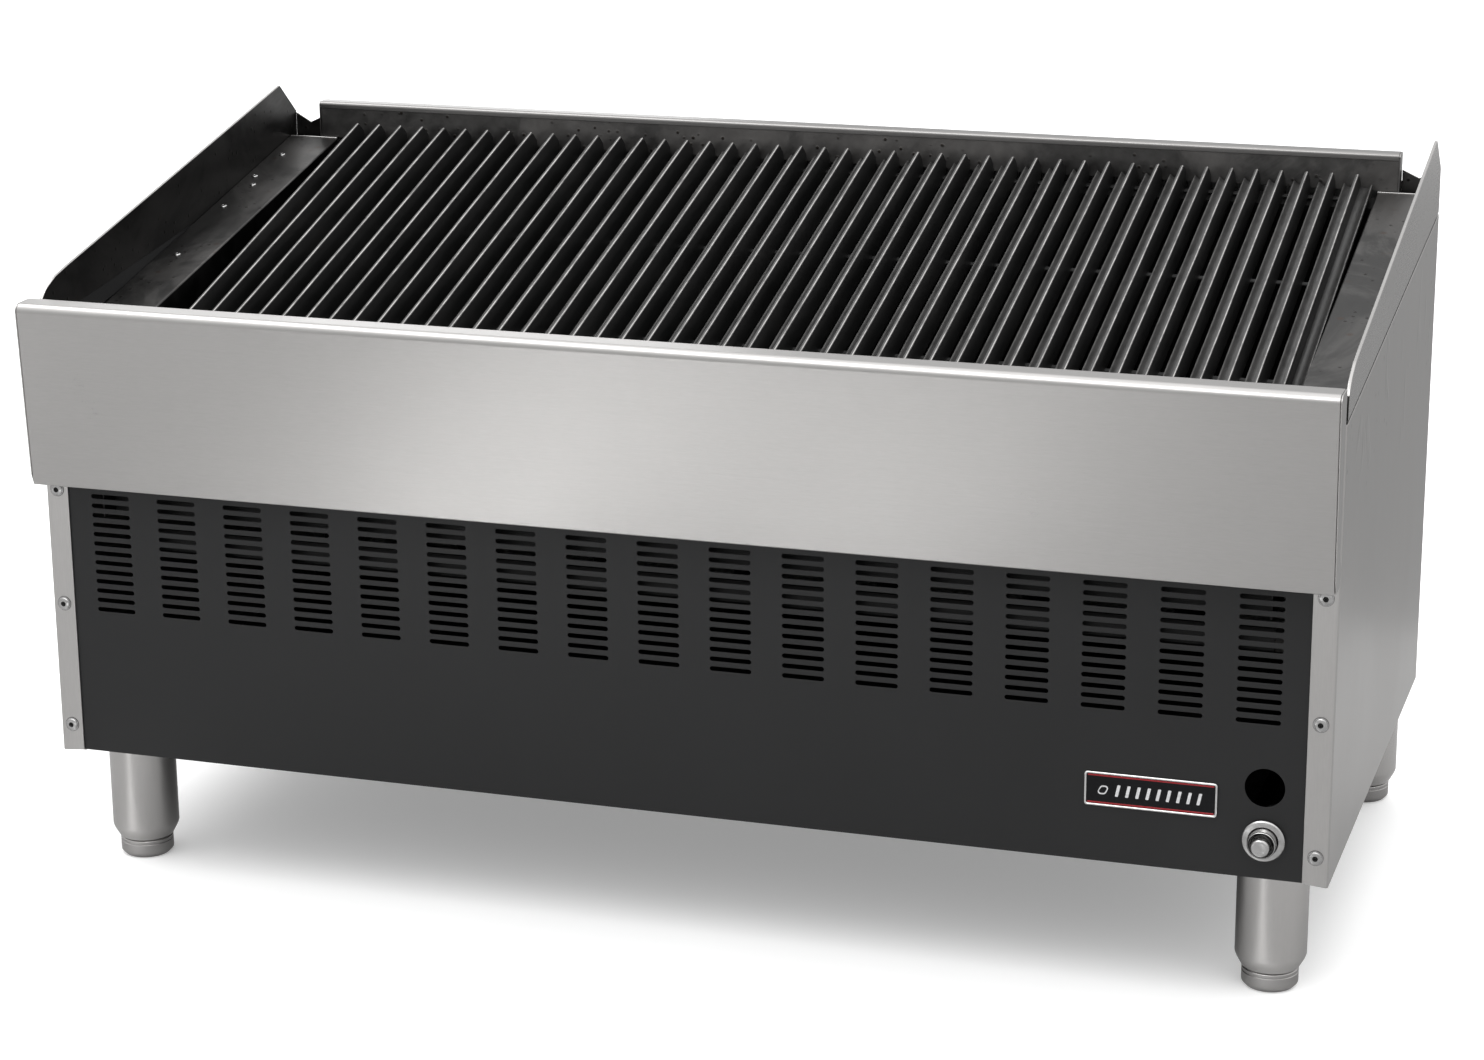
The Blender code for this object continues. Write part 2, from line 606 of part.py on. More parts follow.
module = turned("igniter_body", [(0.0, 0.0), (0.0120, 0.0), (0.0120, 0.0320), (0.0, 0.0320)],
                TURN_TO_BACK, body_point(IGNITER_X, 0.0283, IGNITER_Z), 12)
register(smooth_round(module), PLASTIC)


# ---------------------------------------------------------------- legs and feet
leg_top = LEG_HEIGHT - GAP
leg_low = FOOT_VISIBLE
leg_profile = [(0.0, leg_top), (0.0370, leg_top), (0.0370, leg_top - 0.0030),
               (LEG_RADIUS, leg_top - 0.0030), (LEG_RADIUS, leg_low + 0.0130),
               (LEG_RADIUS - 0.0012, leg_low + 0.0090), (LEG_RADIUS - 0.0060, leg_low),
               (0.0100, leg_low), (0.0100, leg_low + 0.0600), (0.0, leg_low + 0.0600)]
foot_profile = [(0.0, 0.0), (0.0225, 0.0), (FOOT_RADIUS, 0.0030), (FOOT_RADIUS, leg_low - 0.0020),
                (FOOT_RADIUS - 0.0012, leg_low - 0.0008), (0.0096, leg_low - 0.0008),
                (0.0096, leg_low + 0.0480), (0.0, leg_low + 0.0480)]
corners = (("front_left", -1, 0), ("front_right", 1, 0), ("rear_left", -1, 1), ("rear_right", 1, 1))
for label, sign, row in corners:
    foot_of_leg = Vector((sign * LEG_X[row], Y_FRONT + LEG_Y[row], 0.0))
    leg = turned("leg_" + label, leg_profile, AXES_XY, foot_of_leg, 20)
    register(smooth_round(leg), STEEL)
    foot = turned("foot_" + label, foot_profile, AXES_XY, foot_of_leg, 20)
    register(smooth_round(foot), STEEL)
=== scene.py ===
"""Looks for a forty-eight inch counter-top gas charbroiler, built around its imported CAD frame.

Every piece is placed from the frame's own boxes. Body coordinates count y back from the face of
the front strips and z up from the underside of the body; at() turns them into world metres.
"""
import math

import bmesh
import bpy
from mathutils import Matrix, Vector, noise


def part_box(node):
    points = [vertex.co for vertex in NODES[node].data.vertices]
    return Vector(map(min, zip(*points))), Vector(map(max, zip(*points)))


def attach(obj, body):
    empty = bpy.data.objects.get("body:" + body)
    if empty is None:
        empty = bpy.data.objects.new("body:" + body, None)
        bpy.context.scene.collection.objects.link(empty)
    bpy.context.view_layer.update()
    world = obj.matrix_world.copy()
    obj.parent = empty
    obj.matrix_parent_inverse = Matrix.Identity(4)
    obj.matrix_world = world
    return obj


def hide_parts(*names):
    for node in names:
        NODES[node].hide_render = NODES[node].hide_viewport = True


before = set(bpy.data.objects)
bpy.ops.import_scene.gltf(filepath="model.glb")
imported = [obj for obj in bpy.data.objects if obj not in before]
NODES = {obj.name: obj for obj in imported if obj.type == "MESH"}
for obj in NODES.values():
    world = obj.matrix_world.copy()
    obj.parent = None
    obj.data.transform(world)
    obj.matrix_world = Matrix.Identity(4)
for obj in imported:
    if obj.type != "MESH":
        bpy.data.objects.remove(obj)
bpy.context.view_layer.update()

# ---- places taken from the frame
panel_low, panel_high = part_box("louvre_panel")
side_low, side_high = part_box("side_panel_right")
rail_low, rail_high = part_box("front_rail")
back_low, back_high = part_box("back_rail")
deck_low, deck_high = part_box("deck_right")
first_grate_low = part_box("grate_01")[0]
plate_low, plate_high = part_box("nameplate")
bezel_low, bezel_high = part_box("igniter_bezel")

HALF = side_high.x                       # half the body's width
PANEL_Y = 0.0018                         # the louvre panel sits this far behind the strips
Y0 = panel_low.y - PANEL_Y               # world y of the strip faces
Z0 = side_low.z                          # world z of the body's underside
DEPTH = side_high.y - Y0
RAIL_TOP = rail_high.z - Z0
RAIL_BOTTOM = rail_low.z - Z0
RAIL_FRONT = rail_low.y - Y0
LEDGE_BACK = -0.0090                     # rear edge of the rail's ledge
RAIL_FOOT = -0.0260                      # y of the rail's lower edge, its face leans back to it
SEAM_FRONT = 0.4140                      # top of the side panels at the front
SEAM_REAR = side_high.z - Z0             # and at the back
STRIP = 0.0226                           # width of the front strips
SHEET = 0.0015
GAP = 0.0003
PANEL_TOP = panel_high.z - Z0
PANEL_BOTTOM = panel_low.z - Z0
PANEL_HALF = panel_high.x
BACK_HALF = back_high.x
BACK_TOP = back_high.z - Z0
BACK_BOTTOM = back_low.z - Z0
BACK_FRONT = back_low.y - Y0
BACK_REAR = back_high.y - Y0
DECK_INNER = deck_low.x
DECK_OUTER = deck_high.x
DECK_Y0 = deck_low.y - Y0
DECK_Y1 = deck_high.y - Y0
DECK_FLOOR = deck_low.z - Z0
DECK_SLOPE = 0.2018
DECK_FRONT_Z = deck_high.z - Z0 - DECK_SLOPE * DECK_Y1

GRATE_SLOPE = 0.2682
GRATE_Y0 = 0.0080
GRATE_Y1 = 0.5570
GRATE_TIP_Y = 0.5480                     # the blades' tips slope off behind here
GRATE_FRONT_Z = 0.3730                   # height of the blades' tips at y = 0
GRATE_COUNT = 11
BLADES = 4                               # in each casting
PITCH = 0.0245
BLADE_HEIGHT = 0.0270
GUTTER_REACH = 0.0145
FIRST_BLADE_X = first_grate_low.x + GUTTER_REACH

SLOT_COLUMNS, SLOT_ROWS = 17, 13
SLOT_PITCH_X, SLOT_PITCH_Z = 0.0680, 0.0093
SLOT_WIDTH, SLOT_HEIGHT = 0.0390, 0.0042
SLOT_TOP = 0.2575
SIGHT_HOLE = (0.5518, 0.0858, 0.0175)    # x, z and radius
IGNITER_X = (bezel_low.x + bezel_high.x) / 2
IGNITER_Z = (bezel_low.z + bezel_high.z) / 2 - Z0
PLATE_X = (plate_low.x + plate_high.x) / 2
PLATE_Z = (plate_low.z + plate_high.z) / 2 - Z0
PLATE_HALF_X = (plate_high.x - plate_low.x) / 2
PLATE_HALF_Z = (plate_high.z - plate_low.z) / 2
SCREW_X = 0.5980
SCREW_Z = (0.0270, 0.1490, 0.2620)


def at(x, y, z):
    """World position of a point in body coordinates."""
    return Vector((x, Y0 + y, Z0 + z))


def deck_z(y):
    return DECK_FRONT_Z + DECK_SLOPE * y


def grate_top(y):
    return GRATE_FRONT_Z + GRATE_SLOPE * y


# ---- procedural materials
def ramp_through(tree, source, stops):
    """Colour ramp in a node tree, through stops of (position, value or colour)."""
    made = tree.nodes.new("ShaderNodeValToRGB")
    elements = made.color_ramp.elements
    while len(elements) < len(stops):
        elements.new(0.5)
    for element, (position, value) in zip(elements, stops):
        element.position = position
        if isinstance(value, (int, float)):
            value = (value, value, value)
        element.color = (*value, 1.0)
    tree.links.new(source, made.inputs["Fac"])
    return made.outputs["Color"]


class Shader:
    """Small helper that wires one procedural Principled material."""

    def __init__(self, name):
        self.material = bpy.data.materials.new(name)
        self.material.use_nodes = True
        self.tree = self.material.node_tree
        self.bsdf = self.tree.nodes["Principled BSDF"]
        self.place = self.tree.nodes.new("ShaderNodeTexCoord").outputs["Object"]

    def node(self, kind, **values):
        made = self.tree.nodes.new("ShaderNode" + kind)
        for key, value in values.items():
            setattr(made, key, value)
        return made

    def link(self, source, target):
        self.tree.links.new(source, target)

    def grain(self, scale, detail=4.0, roughness=0.55, distortion=0.0):
        """Noise whose size is set by scale in cycles per metre, one value or one for each axis."""
        if isinstance(scale, float):
            scale = (scale, scale, scale)
        mapping = self.node("Mapping")
        mapping.inputs["Scale"].default_value = scale
        self.link(self.place, mapping.inputs["Vector"])
        made = self.node("TexNoise")
        made.inputs["Scale"].default_value = 1.0
        made.inputs["Detail"].default_value = detail
        made.inputs["Roughness"].default_value = roughness
        made.inputs["Distortion"].default_value = distortion
        self.link(mapping.outputs["Vector"], made.inputs["Vector"])
        return made.outputs["Fac"]

    def cells(self, scale):
        made = self.node("TexVoronoi", feature='F1')
        made.inputs["Scale"].default_value = scale
        self.link(self.place, made.inputs["Vector"])
        return made

    def ramp(self, source, *stops):
        """Maps a value through stops of (position, value or colour)."""
        return ramp_through(self.tree, source, stops)

    def spread(self, source, low, high):
        """The ramp most patterns use, from low to high over the middle of the noise's range."""
        return self.ramp(source, (0.3, low), (0.7, high))

    def put(self, value, socket):
        """Links another node's socket, or sets a plain value or colour."""
        if isinstance(value, bpy.types.NodeSocket):
            self.link(value, socket)
        elif isinstance(value, (int, float)):
            socket.default_value = value
        else:
            socket.default_value = (*value, 1.0)

    def mix(self, factor, first, second):
        made = self.node("Mix", data_type='RGBA', blend_type='MIX')
        self.put(factor, made.inputs[0])
        self.put(first, made.inputs[6])
        self.put(second, made.inputs[7])
        return made.outputs[2]

    def times(self, first, second):
        made = self.node("Math", operation='MULTIPLY', use_clamp=True)
        self.put(first, made.inputs[0])
        self.put(second, made.inputs[1])
        return made.outputs[0]

    def bump(self, height, depth, strength=1.0, under=None):
        made = self.node("Bump")
        made.inputs["Distance"].default_value = depth
        made.inputs["Strength"].default_value = strength
        self.link(height, made.inputs["Height"])
        if under is not None:
            self.link(under, made.inputs["Normal"])
        return made.outputs["Normal"]

    def finish(self, color, roughness, normal=None, metallic=0.0, specular=0.5):
        self.link(color, self.bsdf.inputs["Base Color"])
        self.link(roughness, self.bsdf.inputs["Roughness"])
        self.put(metallic, self.bsdf.inputs["Metallic"])
        self.bsdf.inputs["Specular IOR Level"].default_value = specular
        if normal is not None:
            self.link(normal, self.bsdf.inputs["Normal"])
        return self.material


def shade(tone, warm=0.035):
    """A near-neutral steel colour, slightly warm."""
    return (tone * (1 + warm * 0.6), tone, tone * (1 - warm * 0.5))


def brushed_steel(name, tone, along, rough=(0.27, 0.33), dents=0.0):
    """Satin sheet brushed along one axis ('X', 'Y' or 'Z'), with faint clouds and handling marks."""
    s = Shader(name)
    fine = [1500.0, 1500.0, 1500.0]
    long = [600.0, 600.0, 600.0]
    fine["XYZ".index(along)] = 90.0
    long["XYZ".index(along)] = 12.0
    scratches = s.grain(fine, detail=3.0, roughness=0.6)
    streaks = s.grain(long, detail=4.0, roughness=0.6)
    clouds = s.grain(4.0, detail=4.0, roughness=0.6)
    base = s.mix(s.spread(streaks, 0.0, 1.0), shade(tone * 0.975), shade(tone * 1.02))
    base = s.mix(0.35, base, s.spread(clouds, shade(tone * 0.95), shade(tone * 1.05)))
    base = s.mix(0.20, base, s.spread(scratches, shade(tone * 0.84), shade(tone * 1.15)))
    low, high = rough
    roughness = s.mix(0.5, s.spread(scratches, low, high),
                      s.ramp(clouds, (0.35, low), (0.65, high)))
    normal = s.bump(scratches, 0.00004, 0.30)
    if dents:
        waves = s.grain(9.0, detail=2.0, roughness=0.4)
        normal = s.bump(waves, dents, 0.5, under=normal)
    return s.finish(base, roughness, normal, metallic=1.0)


def dented_side_steel(name, tone):
    """Brushed upright, with the shallow knocks and pits of a used side panel along the seam."""
    s = Shader(name)
    scratches = s.grain((1300.0, 1300.0, 34.0), detail=3.0, roughness=0.6)
    clouds = s.grain((3.0, 3.0, 2.0), detail=4.0, roughness=0.6)
    base = s.mix(s.spread(scratches, 0.0, 1.0), shade(tone * 0.96), shade(tone * 1.03))
    base = s.mix(0.4, base, s.spread(clouds, shade(tone * 0.93), shade(tone * 1.07)))
    split = s.node("SeparateXYZ")
    s.link(s.place, split.inputs[0])
    band = s.ramp(split.outputs["Z"], (0.0, 0.0), (Z0 + 0.29, 0.0), (Z0 + 0.36, 1.0), (1.0, 1.0))
    knocks = s.ramp(s.grain((30.0, 30.0, 17.0), detail=2.0, roughness=0.45, distortion=0.6),
                    (0.62, 0.0), (0.76, 1.0))
    knocks = s.times(knocks, band)
    base = s.mix(s.times(knocks, 0.12), base, shade(tone * 0.60))
    roughness = s.ramp(clouds, (0.35, 0.27), (0.65, 0.35))
    normal = s.bump(scratches, 0.00004, 0.3)
    dots = s.ramp(s.cells(52.0).outputs["Distance"], (0.06, 1.0), (0.16, 0.0))
    pits = s.times(s.times(band, dots),
                   s.ramp(s.grain((9.0, 9.0, 7.0), detail=3.0), (0.50, 0.0), (0.58, 1.0)))
    base = s.mix(s.times(pits, 0.55), base, shade(tone * 0.35))
    normal = s.bump(knocks, 0.0010, 0.7, under=normal)
    normal = s.bump(pits, 0.0005, 0.6, under=normal)
    return s.finish(base, roughness, normal, metallic=1.0)


def heat_stained_steel(name, tone, spots=0.6, patchy=1.0, glare=0.0):
    """Dark, mottled stainless of the decks: cloudy heat stain, pits, specks and brown spots.
    Patchy scales the stain's contrast; glare lightens a splash above the grates' rear ends."""
    s = Shader(name)
    clouds = s.grain((7.5, 5.0, 7.5), detail=7.0, roughness=0.66, distortion=0.8)
    smears = s.grain((60.0, 9.0, 60.0), detail=5.0, roughness=0.65)
    dark, light = 1.0 - 0.55 * patchy, 1.0 + 1.6 * patchy
    base = s.ramp(clouds, (0.34, shade(tone * dark)), (0.48, shade(tone * 0.85)),
                  (0.54, shade(tone * (1.0 + light) / 2, 0.05)), (0.66, shade(tone * light, 0.06)))
    base = s.mix(0.25, base, s.ramp(smears, (0.3, shade(tone * 0.5)), (0.72, shade(tone * 1.8))))
    if glare:
        split = s.node("SeparateXYZ")
        s.link(s.place, split.inputs[0])
        mask = s.times(s.ramp(split.outputs["Z"], (Z0 + 0.500, 0.0), (Z0 + 0.545, 1.0)),
                       s.ramp(clouds, (0.40, 0.15), (0.56, 1.0)))
        base = s.mix(mask, base, shade(glare, 0.02))
    pits = s.cells(95.0)
    sparse = s.grain(14.0, detail=2.0)
    pit_mask = s.times(s.ramp(pits.outputs["Distance"], (0.10, 1.0), (0.20, 0.0)),
                       s.ramp(sparse, (0.44, 0.0), (0.54, 1.0)))
    base = s.mix(s.times(pit_mask, 0.85), base, (tone * 0.22, tone * 0.17, tone * 0.13))
    rust = s.times(s.ramp(s.cells(38.0).outputs["Distance"], (0.05, 1.0), (0.17, 0.0)),
                   s.ramp(s.grain((10.0, 8.0, 10.0), detail=3.0), (0.44, 0.0), (0.56, 1.0)))
    base = s.mix(s.times(rust, spots), base, (0.050, 0.026, 0.016))
    roughness = s.mix(0.5, s.spread(clouds, 0.30, 0.46), s.spread(smears, 0.28, 0.50))
    normal = s.bump(s.grain((900.0, 60.0, 900.0), detail=3.0), 0.00005, 0.4)
    normal = s.bump(pit_mask, 0.00035, 0.6, under=normal)
    return s.finish(base, roughness, normal, metallic=1.0)


def cast_iron(name, tone=0.012, bright=0.33, wear=True):
    """Seasoned cast iron: sandy skin, greasy patches, and bare metal where the 'wear' value is high."""
    s = Shader(name)
    sand = s.grain(900.0, detail=3.0, roughness=0.6)
    patches = s.grain((24.0, 7.0, 24.0), detail=5.0, roughness=0.6)
    base = s.ramp(patches, (0.30, (tone * 0.5, tone * 0.5, tone * 0.5)), (0.55, (tone, tone, tone)),
                  (0.75, (tone * 2.4, tone * 2.3, tone * 2.2)))
    base = s.mix(0.35, base, s.spread(sand, tone * 0.3, tone * 2.0))
    roughness = s.mix(0.45, s.spread(patches, 0.30, 0.52), s.spread(sand, 0.34, 0.66))
    normal = s.bump(sand, 0.00016, 0.55)
    normal = s.bump(patches, 0.0008, 0.35, under=normal)
    if not wear:
        return s.finish(base, roughness, normal, metallic=0.0, specular=0.45)
    mark = s.node("Attribute", attribute_name="wear").outputs["Fac"]
    flaws = s.grain((160.0, 22.0, 160.0), detail=4.0, roughness=0.65)
    worn = s.times(mark, s.ramp(flaws, (0.30, 0.35), (0.58, 1.0)))
    base = s.mix(worn, base, s.spread(sand, shade(bright * 0.75), shade(bright * 1.2)))
    roughness = s.mix(worn, roughness, (0.30, 0.30, 0.30))
    metallic = s.ramp(worn, (0.0, 0.0), (0.6, 1.0))
    return s.finish(base, roughness, normal, metallic=metallic, specular=0.45)


def powder_coat(name, tone):
    """Charcoal powder coat: fine orange peel, faint dust and soft sheen."""
    s = Shader(name)
    peel = s.grain(1100.0, detail=2.0, roughness=0.5)
    dust = s.grain((9.0, 9.0, 5.0), detail=5.0, roughness=0.6)
    cool = (tone * 0.98, tone, tone * 1.05)
    base = s.mix(s.spread(dust, 0.0, 1.0), tuple(c * 0.86 for c in cool),
                 tuple(c * 1.16 for c in cool))
    base = s.mix(0.2, base, s.spread(peel, tone * 0.6, tone * 1.5))
    roughness = s.mix(0.5, s.spread(peel, 0.44, 0.56), s.spread(dust, 0.42, 0.58))
    return s.finish(base, roughness, s.bump(peel, 0.00006, 0.35), specular=0.35)


def aluminised(name, tone):
    """Dull coated sheet of the inner and rear pieces, with a soft crystal pattern and soot."""
    s = Shader(name)
    flakes = s.cells(70.0)
    clouds = s.grain(8.0, detail=5.0, roughness=0.6)
    grey = s.node("RGBToBW")
    s.link(flakes.outputs["Color"], grey.inputs["Color"])
    base = s.ramp(grey.outputs["Val"], (0.1, shade(tone * 0.78, 0.0)), (0.9, shade(tone * 1.15, 0.0)))
    base = s.mix(0.4, base, s.spread(clouds, shade(tone * 0.55), shade(tone * 1.1)))
    roughness = s.ramp(grey.outputs["Val"], (0.1, 0.40), (0.9, 0.52))
    return s.finish(base, roughness, s.bump(clouds, 0.0003, 0.3), metallic=1.0)


def black_pipe(name):
    """Oiled iron pipe with mill scale."""
    s = Shader(name)
    scale = s.grain(120.0, detail=5.0, roughness=0.65)
    base = s.ramp(scale, (0.35, (0.008, 0.008, 0.009)), (0.62, (0.035, 0.032, 0.030)),
                  (0.78, (0.060, 0.040, 0.030)))
    return s.finish(base, s.spread(scale, 0.35, 0.6), s.bump(scale, 0.0002, 0.5), metallic=0.5)


def plated(name, tone, rough=(0.07, 0.16), grime=0.25):
    """Chrome or nickel plate with fingerprints and a little grime."""
    s = Shader(name)
    prints = s.grain(130.0, detail=5.0, roughness=0.6, distortion=0.6)
    base = s.mix(s.ramp(prints, (0.45, 0.0), (0.75, grime)), shade(tone, 0.01),
                 shade(tone * 0.35, 0.06))
    roughness = s.ramp(prints, (0.35, rough[0]), (0.70, rough[1]))
    return s.finish(base, roughness, s.bump(prints, 0.00003, 0.3), metallic=1.0)


def enamel(name, color, rough=(0.16, 0.28), specular=0.5):
    """Hard glossy paint on the small plate."""
    s = Shader(name)
    haze = s.grain(300.0, detail=4.0, roughness=0.6)
    base = s.spread(haze, tuple(c * 0.85 for c in color), tuple(c * 1.15 for c in color))
    return s.finish(base, s.spread(haze, rough[0], rough[1]), s.bump(haze, 0.00002, 0.3),
                    specular=specular)


def moulded_plastic(name, tone):
    s = Shader(name)
    fine = s.grain(700.0, detail=3.0)
    base = s.spread(fine, tone * 0.8, tone * 1.2)
    return s.finish(base, s.spread(fine, 0.42, 0.55), s.bump(fine, 0.00006, 0.4))


STEEL_TONE = 0.42
RAIL_STEEL = brushed_steel("steel_brushed_along", STEEL_TONE, 'X', dents=0.0002)
SIDE_STEEL = dented_side_steel("steel_side", STEEL_TONE)
STRIP_STEEL = brushed_steel("steel_brushed_strip", STEEL_TONE * 1.15, 'Z')
SPLASH_STEEL = brushed_steel("steel_splash", STEEL_TONE * 0.98, 'Y', rough=(0.22, 0.34))
# Smoother steel of the legs, its tone raised as a painted highlight
LEG_STEEL = brushed_steel("steel_leg", STEEL_TONE * 1.26, 'Z', rough=(0.19, 0.25))
# Darker than the leg steel: painted shade on the feet
FOOT_STEEL = brushed_steel("steel_foot", STEEL_TONE * 0.98, 'Z', rough=(0.21, 0.29))
# Splash steel of the inner and front faces: mottled stain, with a low tone that is a painted dark
# reflection of the grates, and a glare patch that is a painted highlight
SPLASH_SHADE_STEEL = heat_stained_steel("steel_splash_painted_dark", 0.036, spots=0.15, patchy=0.5, glare=0.14)
BACK_STEEL = heat_stained_steel("steel_back_face", 0.120, spots=0.0, patchy=0.35)
# Darker copy of the brushed steel for the back rail's hem and end caps: painted shade
CAP_STEEL_SHADED = brushed_steel("steel_cap_shaded", STEEL_TONE * 0.57, 'X')
DECK_STEELS = {"left": heat_stained_steel("steel_deck_left", 0.052, patchy=0.8),
               "right": heat_stained_steel("steel_deck_right", 0.038, patchy=1.2)}
SCREW_STEEL = plated("steel_screw", 0.46, rough=(0.16, 0.30), grime=0.5)
IRON = cast_iron("iron_grate", tone=0.010, bright=0.62)
IRON_PLAIN = cast_iron("iron_plain", wear=False)
COAT = powder_coat("coat_charcoal", 0.0125)
DULL = aluminised("sheet_aluminised", 0.34)
SOOTED = aluminised("sheet_sooted", 0.022)
SOOT = powder_coat("soot_matte", 0.0015)
TUBE = aluminised("tube_sooted", 0.06)
PIPE = black_pipe("pipe_black")
CHROME = plated("plate_chrome", 0.72)
NICKEL = plated("plate_nickel", 0.50, rough=(0.14, 0.26), grime=0.45)
# Near-black plate for the screws' recesses and the line round each head: painted shade
SCREW_SHADE = plated("steel_screw_painted_shade", 0.05, rough=(0.30, 0.50), grime=0.7)
ENAMEL = enamel("enamel_black", (0.006, 0.006, 0.007), specular=0.16)
RED = enamel("enamel_red", (0.34, 0.010, 0.016))
SILVER = enamel("enamel_silver", (0.72, 0.72, 0.73), rough=(0.22, 0.34))
PLASTIC = moulded_plastic("plastic_black", 0.02)


# ---- mesh helpers
def rounded(points, radii, steps=5, closed=True):
    """Polygon or polyline with each corner replaced by an arc of the given radius."""
    count = len(points)
    if not isinstance(radii, (list, tuple)):
        radii = [radii] * count
    made = []
    for i, (point, radius) in enumerate(zip(points, radii)):
        if radius <= 0 or (not closed and i in (0, count - 1)):
            made.append(tuple(point))
            continue
        here = Vector(point)
        before = Vector(points[i - 1]) - here
        after = Vector(points[(i + 1) % count]) - here
        angle = before.angle(after)
        reach = radius / math.tan(angle / 2)
        limit = 0.48 * min(before.length, after.length)
        if reach > limit:
            radius *= limit / reach
            reach = limit
        start = here + before.normalized() * reach
        end = here + after.normalized() * reach
        centre = here + (before.normalized() + after.normalized()).normalized() * (
            radius / math.sin(angle / 2))
        a = start - centre
        turn = a.angle_signed(end - centre)
        for step in range(steps + 1):
            t = -turn * step / steps
            made.append((centre.x + a.x * math.cos(t) - a.y * math.sin(t),
                         centre.y + a.x * math.sin(t) + a.y * math.cos(t)))
    return made


def rectangle(left, low, right, high):
    return [(left, low), (right, low), (right, high), (left, high)]


def folded(path, thickness):
    """Closed outline of a bent sheet: the path, and the same path moved to its left."""
    moved = []
    for i, point in enumerate(path):
        a = Vector(path[max(i - 1, 0)])
        b = Vector(path[min(i + 1, len(path) - 1)])
        direction = (b - a).normalized()
        moved.append((point[0] - direction.y * thickness, point[1] + direction.x * thickness))
    return list(path) + moved[::-1]


def skin(work, rings, looped=False):
    """Joins each ring of points to the next with quads; a looped run is also joined end to start,
    any other run is closed by its first and last rings."""
    for ring, following in zip(rings, rings[1:] + (rings[:1] if looped else [])):
        for i in range(len(ring)):
            j = (i + 1) % len(ring)
            work.faces.new((ring[i], ring[j], following[j], following[i]))
    if not looped:
        work.faces.new(rings[0][::-1])
        work.faces.new(rings[-1])


def prism(work, outline, place, ends):
    """Adds a closed prism: outline points are placed by place(u, v, end) at each of the ends."""
    skin(work, [[work.verts.new(place(u, v, end)) for u, v in outline] for end in ends])


def side_prism(work, outline, ends, sign=1):
    """Prism of a side view, drawn as (y, z) in body coordinates, between two distances along X."""
    prism(work, outline, lambda u, v, end: at(sign * end, u, v), ends)


def lathe(work, profile, steps, matrix):
    """Adds a solid of revolution from (radius, height) pairs around local Z."""
    rings = []
    for radius, height in profile:
        if radius < 1e-7:
            rings.append([work.verts.new(matrix @ Vector((0.0, 0.0, height)))])
        else:
            rings.append([work.verts.new(matrix @ Vector((
                radius * math.cos(2 * math.pi * k / steps),
                radius * math.sin(2 * math.pi * k / steps), height))) for k in range(steps)])
    closed = len(rings[0]) > 1 and len(rings[-1]) > 1
    pairs = list(zip(rings, rings[1:])) + ([(rings[-1], rings[0])] if closed else [])
    for low, high in pairs:
        for k in range(steps):
            n = (k + 1) % steps
            if len(low) == 1:
                work.faces.new((low[0], high[n], high[k]))
            elif len(high) == 1:
                work.faces.new((low[k], low[n], high[0]))
            else:
                work.faces.new((low[k], low[n], high[n], high[k]))


def piece(name, work, material, stands_for=(), body="chassis", bevel=0.0, segments=2,
          angle=32.0):
    """Turns a bmesh into a shown object that rides a body; weighted normals keep sheet faces flat."""
    bmesh.ops.recalc_face_normals(work, faces=work.faces)
    mesh = bpy.data.meshes.new(name)
    work.to_mesh(mesh)
    work.free()
    mesh.materials.clear()
    mesh.materials.append(material)
    obj = bpy.data.objects.new(name, mesh)
    bpy.context.scene.collection.objects.link(obj)
    for polygon in mesh.polygons:
        polygon.use_smooth = True
    if bevel:
        round_edges(obj, bevel, segments, angle)
    else:
        mesh.set_sharp_from_angle(angle=math.radians(angle))
    flatten = obj.modifiers.new("flat_faces", 'WEIGHTED_NORMAL')
    flatten.keep_sharp = True
    flatten.weight = 80
    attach(obj, body)
    if stands_for:
        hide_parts(*stands_for)
    return obj


def repaint(obj, material, wanted):
    """Gives the faces for which wanted(face) holds a second material."""
    obj.data.materials.append(material)
    for polygon in obj.data.polygons:
        if wanted(polygon):
            polygon.material_index = len(obj.data.materials) - 1


def round_edges(obj, width, segments, angle):
    modifier = obj.modifiers.new("edges", 'BEVEL')
    modifier.width = width
    modifier.segments = segments
    modifier.limit_method = 'ANGLE'
    modifier.angle_limit = math.radians(angle)
    modifier.harden_normals = True
    modifier.use_clamp_overlap = True


def from_curve(name, loops, place, depth, bevel):
    """Mesh of a flat outline with holes, extruded to depth with bevelled rims; place maps (u, v, w)."""
    curve = bpy.data.curves.new(name, 'CURVE')
    curve.dimensions = '2D'
    curve.fill_mode = 'BOTH'
    curve.extrude = depth / 2 - bevel
    curve.bevel_depth = bevel
    curve.bevel_resolution = 1
    curve.offset = -bevel
    for loop in loops:
        spline = curve.splines.new('POLY')
        spline.points.add(len(loop) - 1)
        for point, (u, v) in zip(spline.points, loop):
            point.co = (u, v, 0.0, 1.0)
        spline.use_cyclic_u = True
    holder = bpy.data.objects.new(name + "_outline", curve)
    bpy.context.scene.collection.objects.link(holder)
    bpy.context.view_layer.update()
    graph = bpy.context.evaluated_depsgraph_get()
    mesh = bpy.data.meshes.new_from_object(holder.evaluated_get(graph))
    bpy.data.objects.remove(holder)
    work = bmesh.new()
    work.from_mesh(mesh)
    bmesh.ops.remove_doubles(work, verts=work.verts, dist=1e-7)
    for vert in work.verts:
        vert.co = place(*vert.co)
    return work


TO_FRONT = Matrix.Rotation(math.radians(90), 4, 'X')     # local +Z points to the front
TO_BACK = Matrix.Rotation(math.radians(-90), 4, 'X')


